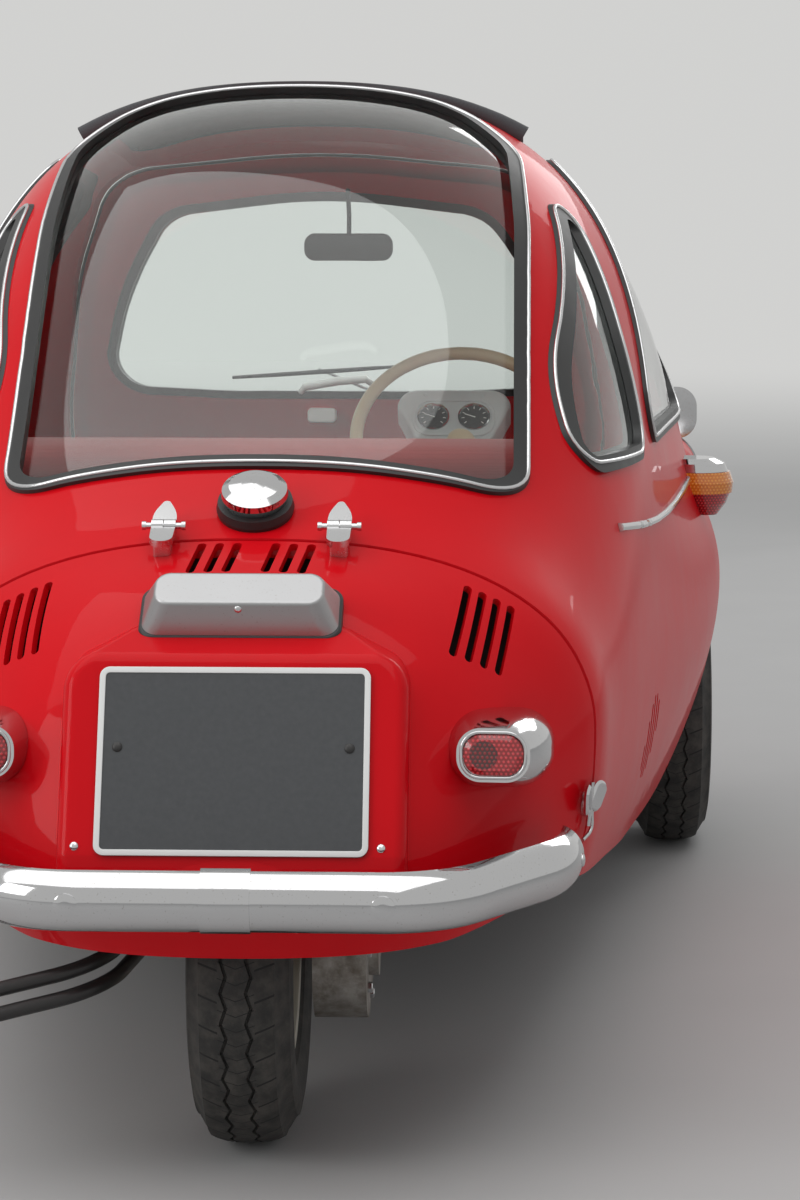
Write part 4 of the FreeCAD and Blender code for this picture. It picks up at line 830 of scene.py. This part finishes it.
def smooth_panes(name, node, body):
    """A copy of the panes whose reflections run evenly, in place of the faceted node."""
    shape, normals = fitted_panes(node)
    corners = []
    for face in shape.faces:
        for vert in face.verts:
            guide = normals[vert.index]
            lean = face.normal.dot(guide)
            if lean > PANE_LEAN:
                corners.append(guide)
            elif lean < -PANE_LEAN:
                corners.append(-guide)
            else:
                corners.append(face.normal.copy())
    mesh = mesh_of(name, shape)
    mesh.normals_split_custom_set(corners)
    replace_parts(ridden(name, mesh, CLEAR, body), node)


# door seal
DOOR_GAP = 6.0
DOOR_SEAL_SUNK = 9
DOOR_SEAL_PITCH = 0.014
DOOR_OUT = Vector((0, 1, 0.25))


def loop_length(loop):
    """How long an open run of points and normals is."""
    return sum((after[0] - before[0]).length for before, after in zip(loop, loop[1:]))


def door_seal():
    """A rubber cord that fills the gap between the door and the shell."""
    shape = merged_copy("front_door")
    loops = outer_loops(shape, lambda point: DOOR_OUT)
    shape.free()
    spaced = even([point for point, _ in max(loops, key=loop_length)], DOOR_SEAL_PITCH)
    middle = sum(spaced, Vector()) / len(spaced)
    path = []
    for index, point in enumerate(spaced):
        along = spaced[(index + 1) % len(spaced)] - spaced[index - 1]
        out = Vector((along.z, 0, -along.x)).normalized()
        if out.dot(point - middle) < 0:
            out.negate()
        path.append(point + out * DOOR_GAP / 2 * MM - Vector((0, DOOR_SEAL_SUNK * MM, 0)))
    cord = bmesh.new()
    tube(cord, path, DOOR_GAP / 2 - 0.1, closed=True, segments=8, up=(0, 1, 0.2))
    finished("door_seal", cord, RUBBER, "chassis", crease=60)


# bench
CROWN = 8
PLEATS = 8
PLEAT_DEPTH = 7
SEAM_CUTS = (-3.5, 0, 3.5)
CUSHION_EDGE = 34
LONG_EDGE = 60
CUSHION_SIZE = (908, 368, 124)
CUSHION_FRAME = facing(spot(0, 855, 493), (0, 0, 1), (0, 1, 0))
BACK_SIZE = (828, 398, 108)
BACK_TILT = math.radians(11)
BACK_OUT = Vector((0, math.cos(BACK_TILT), math.sin(BACK_TILT)))
BACK_UP = Vector((0, -math.sin(BACK_TILT), math.cos(BACK_TILT)))
BACK_FRAME = facing(spot(0, 612, 434.5) + BACK_UP * 200 * MM, BACK_OUT)


def cushion(name, node, frame, size):
    """A crowned bench cushion with upright pleats, in place of the plain solid."""
    width, height, depth = size
    shape = bmesh.new()
    bmesh.ops.create_cube(shape, size=1, matrix=Matrix.Diagonal((width, height, depth, 1)))
    bmesh.ops.bevel(shape, geom=shape.edges[:], offset=CUSHION_EDGE, affect="EDGES", segments=4, profile=0.5,
                    material=-1)
    long_edges = [edge for edge in shape.edges if edge.calc_length() > LONG_EDGE]
    bmesh.ops.subdivide_edges(shape, edges=long_edges, cuts=15, use_grid_fill=True)
    for cut in range(1, PLEATS):
        seam = width * (cut / PLEATS - 0.5)
        for offset in SEAM_CUTS:
            everything = shape.verts[:] + shape.edges[:] + shape.faces[:]
            bmesh.ops.bisect_plane(shape, geom=everything, dist=0.01, plane_co=(seam + offset, 0, 0),
                                   plane_no=(1, 0, 0))
    for vert in shape.verts:
        x, y, z = vert.co
        if z > 0:
            fall = max(0.0, 1 - (2 * x / width) ** 4) * max(0.0, 1 - (2 * y / height) ** 4)
            phase = (x / width + 0.5) * PLEATS
            pleat = abs(math.sin(math.pi * phase)) ** 0.5 - 1
            vert.co.z += CROWN * (fall - 1) + PLEAT_DEPTH * fall * pleat
    bmesh.ops.transform(shape, matrix=frame @ Matrix.Scale(MM, 4), verts=shape.verts)
    piece = finished(name, shape, SEAT_CLOTH, "chassis", crease=80)
    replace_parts(piece, node)


# instruments, which stand on the steering column
WHEEL_HUB = spot(235, 1330, 765)
COLUMN_TILT = math.radians(39.4)
COLUMN_DOWN = Vector((0, math.cos(COLUMN_TILT), -math.sin(COLUMN_TILT)))
HOUSING_FOOT = spot(222, 1330, 765) + COLUMN_DOWN * 141 * MM + Vector((0, 0, 44 * MM))
HOUSING = shifted(facing(HOUSING_FOOT, -COLUMN_DOWN), 0, 44)
HOUSING_DEPTH = 58
DIAL_X = 34
TICKS = 9
FIRST_TICK = 130
TICK_STEP = 32.5
POINTER_TURN = 70


def instrument_housing():
    """The housing of the dials, narrower at its foot, in place of the plain solid."""
    housing = bmesh.new()
    body = slab(housing, shifted(HOUSING, 0, -6), 190, 132, 34, HOUSING_DEPTH, soft=9)
    inverse = HOUSING.inverted()
    for vert in body:
        local = inverse @ vert.co
        local.x *= min(1.0, 1 + 5.2 * (local.y - 0.02))
        vert.co = HOUSING @ local
    slab(housing, shifted(HOUSING, 0, -2, HOUSING_DEPTH - 0.5), 138, 76, 30, 3.5, soft=1.2, border=5)
    for x in (-48, 48):
        dome(housing, shifted(HOUSING, x, 46, HOUSING_DEPTH), 4, 2)
    piece = finished("instrument_housing", housing, GREY_HOUSING, "chassis")
    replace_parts(piece, "instrument_binnacle")


def dials():
    """Two round dials, each with a bright ring, plain marks and a pointer."""
    faces = bmesh.new()
    rings = bmesh.new()
    marks = bmesh.new()
    for side in (1, -1):
        frame = shifted(HOUSING, side * DIAL_X, 0, HOUSING_DEPTH + 0.2)
        turned(faces, frame, [(24, 0), (24, 1), (0, 1.2)])
        turned(rings, frame, [(27, -0.5), (27, 3), (24.5, 3.5), (23, 1), (27, -0.5)])
        for tick in range(TICKS):
            spoke = frame @ Matrix.Rotation(math.radians(FIRST_TICK - tick * TICK_STEP), 4, "Z")
            slab(marks, shifted(spoke, 0, 18.5, 1.0), 1.3, 5, 0.3, 0.6)
        pointer = frame @ Matrix.Rotation(math.radians(POINTER_TURN), 4, "Z")
        slab(marks, shifted(pointer, 0, 7, 1.2), 1.6, 19, 0.6, 0.8)
    finished("dial_faces", faces, DARK_STEEL, "chassis")
    finished("dial_rings", rings, CHROME, "chassis")
    finished("dial_marks", marks, WHITE_PLASTIC, "chassis")


def cabin_mirror():
    """The mirror that hangs from the top of the windscreen, seen from its back."""
    mirror = bmesh.new()
    slab(mirror, facing(spot(44, 1462, 1078), (0, -1, -0.1)), 150, 46, 18, 12, soft=4)
    tube(mirror, [spot(44, 1470, 1092), spot(44, 1480, 1130), spot(44, 1440, 1175)], 4)
    finished("cabin_mirror", mirror, DARK_STEEL, "chassis")


def horn_button():
    """The button in the middle of the steering wheel."""
    button = bmesh.new()
    frame = facing(WHEEL_HUB + COLUMN_DOWN * 12 * MM, -COLUMN_DOWN)
    turned(button, frame, [(22, -1), (22, 4), (17, 9), (8, 12), (0, 12.5)], steps=28)
    finished("horn_button", button, CREAM, "steering_wheel")


# folding roof
DOWN = Vector((0, 0, -1))
ABOVE = 1500
ROOF_REAR = 965
ROOF_FRONT = 1366
ROOF_DEPTH = ROOF_FRONT - ROOF_REAR
ROOF_HALF = 338
ROOF_HEM = 9
BOW_SPACES = 3
HOLLOW = 2.6
RUCK = 0.8


def roof_sheet():
    """The folding roof, stretched over bows that press up through the cloth."""
    shape = bmesh.new()
    frame = facing(spot(0, (ROOF_REAR + ROOF_FRONT) / 2, ABOVE), (0, 0, 1), (0, 1, 0))
    bmesh.ops.create_grid(shape, x_segments=48, y_segments=40, size=0.5,
                          matrix=frame @ Matrix.Diagonal((2 * ROOF_HALF * MM, ROOF_DEPTH * MM, 1, 1)))
    lost = []
    for vert in shape.verts:
        landed, _ = landing("sunroof_fabric", vert.co, DOWN)
        if landed:
            share = ((vert.co.y - REAR_AXLE_Y) / MM - ROOF_REAR) / ROOF_DEPTH
            phase = math.pi * share * BOW_SPACES
            hollow = HOLLOW * (1 - abs(math.cos(phase)) ** 0.7)
            ruck = RUCK * math.sin(vert.co.x / MM * 0.055 + 3 * share) * math.sin(phase) ** 2
            vert.co.z = landed.z - (1.2 + hollow - ruck) * MM
        else:
            lost.append(vert)
    bmesh.ops.delete(shape, geom=lost, context="VERTS")
    edge_loop = [edge for edge in shape.edges if edge.is_boundary]
    rolled = bmesh.ops.extrude_edge_only(shape, edges=edge_loop)["geom"]
    hem = [item for item in rolled if isinstance(item, bmesh.types.BMVert)]
    bmesh.ops.translate(shape, vec=(0, 0, -ROOF_HEM * MM), verts=hem)
    bmesh.ops.recalc_face_normals(shape, faces=shape.faces)
    piece = finished("roof_cloth", shape, ROOF_FABRIC, "chassis", crease=70)
    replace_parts(piece, "sunroof_fabric")


ROLL_Y = 971
ROLL_HALF = 333
ROLL_STEPS = 17
ROLL_STEP = 19.6


def roof_roll():
    """The gathered rear edge of the roof, thickest at its ends."""
    points = []
    sizes = []
    for step in range(-ROLL_STEPS, ROLL_STEPS + 1):
        x = step * ROLL_STEP
        landed, out = landing("body_shell", spot(x, ROLL_Y, ABOVE), DOWN)
        if landed:
            size = 8 + 8 * (abs(x) / ROLL_HALF) ** 3
            points.append(landed + out * size * 0.55 * MM)
            sizes.append(size)
    roll = bmesh.new()
    tube(roll, points, sizes, segments=16)
    piece = finished("roof_roll", roll, ROOF_FABRIC, "chassis", crease=50)


# side slots, with painted shade behind them
BESIDE = 900
SLOTS_REAR = (490, 400)
SLOTS_FRONT = (665, 415)
SHADE_PLATE_SUNK = 36


def side_slot_shade():
    """A dark plate behind each side's slots, standing in for the shade seen through them."""
    shade_plates = bmesh.new()
    rear, _ = landing("body_shell", spot(BESIDE, *SLOTS_REAR), Vector((-1, 0, 0)))
    front, _ = landing("body_shell", spot(BESIDE, *SLOTS_FRONT), Vector((-1, 0, 0)))
    for side in (1, -1):
        flip = Vector((side, 1, 1))
        middle = (rear + front) / 2 * flip
        along = (front - rear) * flip
        frame = facing(middle, along.cross(Vector((0, 0, 1))) * side)
        slab(shade_plates, shifted(frame, 0, 0, -SHADE_PLATE_SUNK), 165, 190, 20, 2)
    finished("slot_shade_plates", shade_plates, DARK_STEEL, "chassis")


# door trim, with places as x and z
BEYOND_NOSE = 2600
INSIDE_CABIN = 1300
WIPER_PIVOT = (150, 742)
WIPER_JOINT = (-40, 826)
BLADE = [(-200, 815), (-120, 820), (-40, 826), (40, 832), (110, 838)]
GRAB_RAIL = [(-70, 796), (-62, 806), (0, 818), (52, 822), (64, 812)]
SWITCH_BOX = (-35, 747)


def on_front(node, x, z, lift):
    """A point in front of a node of the door, lifted off it in millimetres."""
    landed, normal = landing(node, spot(x, BEYOND_NOSE, z), Vector((0, -1, 0)))
    return landed + normal * lift * MM


def on_inside(node, x, z):
    """A point on the cabin side of a node of the door."""
    landed, _ = landing(node, spot(x, INSIDE_CABIN, z), Vector((0, 1, 0)))
    return landed


def wiper():
    """A wiper parked along the foot of the windscreen."""
    arm = bmesh.new()
    pivot = on_front("front_door", *WIPER_PIVOT, 0)
    end = on_front("front_door", *WIPER_PIVOT, 14)
    turned(arm, facing(pivot, end - pivot), [(13, -1), (13, 5), (10, 12), (5, 16), (0, 16.5)], steps=24)
    joint = on_front("windscreen", *WIPER_JOINT, 17)
    tube(arm, [end, end.lerp(joint, 0.5) + Vector((0, 6 * MM, 0)), joint], [4.5, 3.5, 2.5])
    finished("wiper_arm", arm, BRIGHT_STEEL, "door")
    blade = bmesh.new()
    tube(blade, [on_front("windscreen", x, z, 9) for x, z in BLADE], [3, 4, 4.5, 4, 3])
    finished("wiper_blade", blade, RUBBER, "door")


def door_fittings():
    """A white grab rail inside the foot of the windscreen and a small switch box under it."""
    fittings = bmesh.new()
    drop = 12
    off_glass = Vector((0, -46, -drop)) * MM
    rail = [on_inside("windscreen", x, z + drop) + off_glass for x, z in GRAB_RAIL]
    tube(fittings, rail, [6, 7.5, 8, 7.5, 6], segments=14)
    slab(fittings, facing(on_inside("front_door", *SWITCH_BOX), (0, -1, 0)), 54, 28, 9, 22, soft=4)
    finished("door_fittings", fittings, WHITE_PLASTIC, "door")


# chain case, with its bolts as y and z
CASE_FACE_X = 146
CASE_BOLTS = [(70, 300), (20, 320), (-34, 300), (-60, 250), (-40, 200), (10, 180)]


def case_bolts():
    """Six-sided bolts round the chain case."""
    bolts = bmesh.new()
    for y, z in CASE_BOLTS:
        turned(bolts, facing(spot(CASE_FACE_X, y, z), (1, 0, 0)), [(7, -1), (7, 5), (6, 6), (0, 6)], steps=6)
    finished("case_bolts", bolts, BRIGHT_STEEL, "chassis")


plate_trim()
tail_trim()
for tyre_node, tyre_home, tyre_body in TYRES:
    treaded_tyre(tyre_node, tyre_home, tyre_body)
for window, seal, strip, pane, window_body in WINDOWS:
    filler_strips(strip, window, seal, window_body)
for window, seal, strip, pane, window_body in WINDOWS:
    smooth_panes(pane, window, window_body)
door_seal()
cushion("bench_cushion", "seat_cushion", CUSHION_FRAME, CUSHION_SIZE)
cushion("bench_back", "seat_back", BACK_FRAME, BACK_SIZE)
instrument_housing()
dials()
cabin_mirror()
horn_button()
roof_sheet()
roof_roll()
side_slot_shade()
wiper()
door_fittings()
case_bolts()

# studio
FLOOR_RADIUS = 45.0
FLOOR_DROP = 0.0005
PALE = (0.64, 0.64, 0.63)
FADE_FROM = 3.5
FADE_TO = 15


def floor():
    """A pale floor that fades into the backdrop."""
    shape = bmesh.new()
    bmesh.ops.create_circle(shape, cap_ends=True, segments=96, radius=FLOOR_RADIUS)
    mesh = bpy.data.meshes.new("floor")
    shape.to_mesh(mesh)
    shape.free()
    piece = added("floor", mesh)
    piece.location.z = -FLOOR_DROP
    ground = Finish("pale_floor")
    x, y, z = ground.axes()
    distance = (x * x + y * y) ** 0.5
    tone = ground.mix(ground.noise(2.5, 3), (0.50, 0.495, 0.485), (0.55, 0.545, 0.535))
    matt = ground.surface(Base_Color=tone, Roughness=0.9)
    far = ground.node("Emission", sockets={"Color": PALE, "Strength": 1.0})
    fade = ground.between(distance, FADE_FROM, FADE_TO)
    dress(piece, ground.done(ground.node("MixShader", sockets={0: fade, 1: matt, 2: far})))


def world():
    """A soft sky that cameras, mirrors and glass see as the backdrop."""
    sky = Finish("studio", world=True)
    seen = sky.node("LightPath", output="Is Camera Ray")
    for ray in ("Is Glossy Ray", "Is Transmission Ray"):
        seen = seen.at_least(sky.node("LightPath", output=ray))
    ambient = sky.node("Background", sockets={"Color": (0.95, 0.97, 1.0), "Strength": 0.42})
    backdrop = sky.node("Background", sockets={"Color": PALE, "Strength": 1.0})
    bpy.context.scene.world = sky.done(sky.node("MixShader", sockets={0: seen, 1: ambient, 2: backdrop}))


def soft_light(name, at, towards, size, power):
    """A wide light. Places and sizes are in metres."""
    lamp = bpy.data.lights.new(name, "AREA")
    lamp.shape = "RECTANGLE"
    lamp.size, lamp.size_y = size
    lamp.energy = power
    piece = added(name, lamp)
    piece.location = at
    piece.rotation_euler = (Vector(towards) - Vector(at)).to_track_quat("-Z", "Y").to_euler()


floor()
world()
soft_light("overhead_light", (-0.6, -1.4, 4.2), (0, -0.2, 0.5), (6.0, 4.4), 105)
soft_light("left_light", (-4.2, -3.4, 2.6), (0, -0.4, 0.7), (2.4, 2.4), 60)
soft_light("front_light", (2.5, 5.0, 3.2), (0, 0.2, 0.8), (2.6, 2.2), 50)
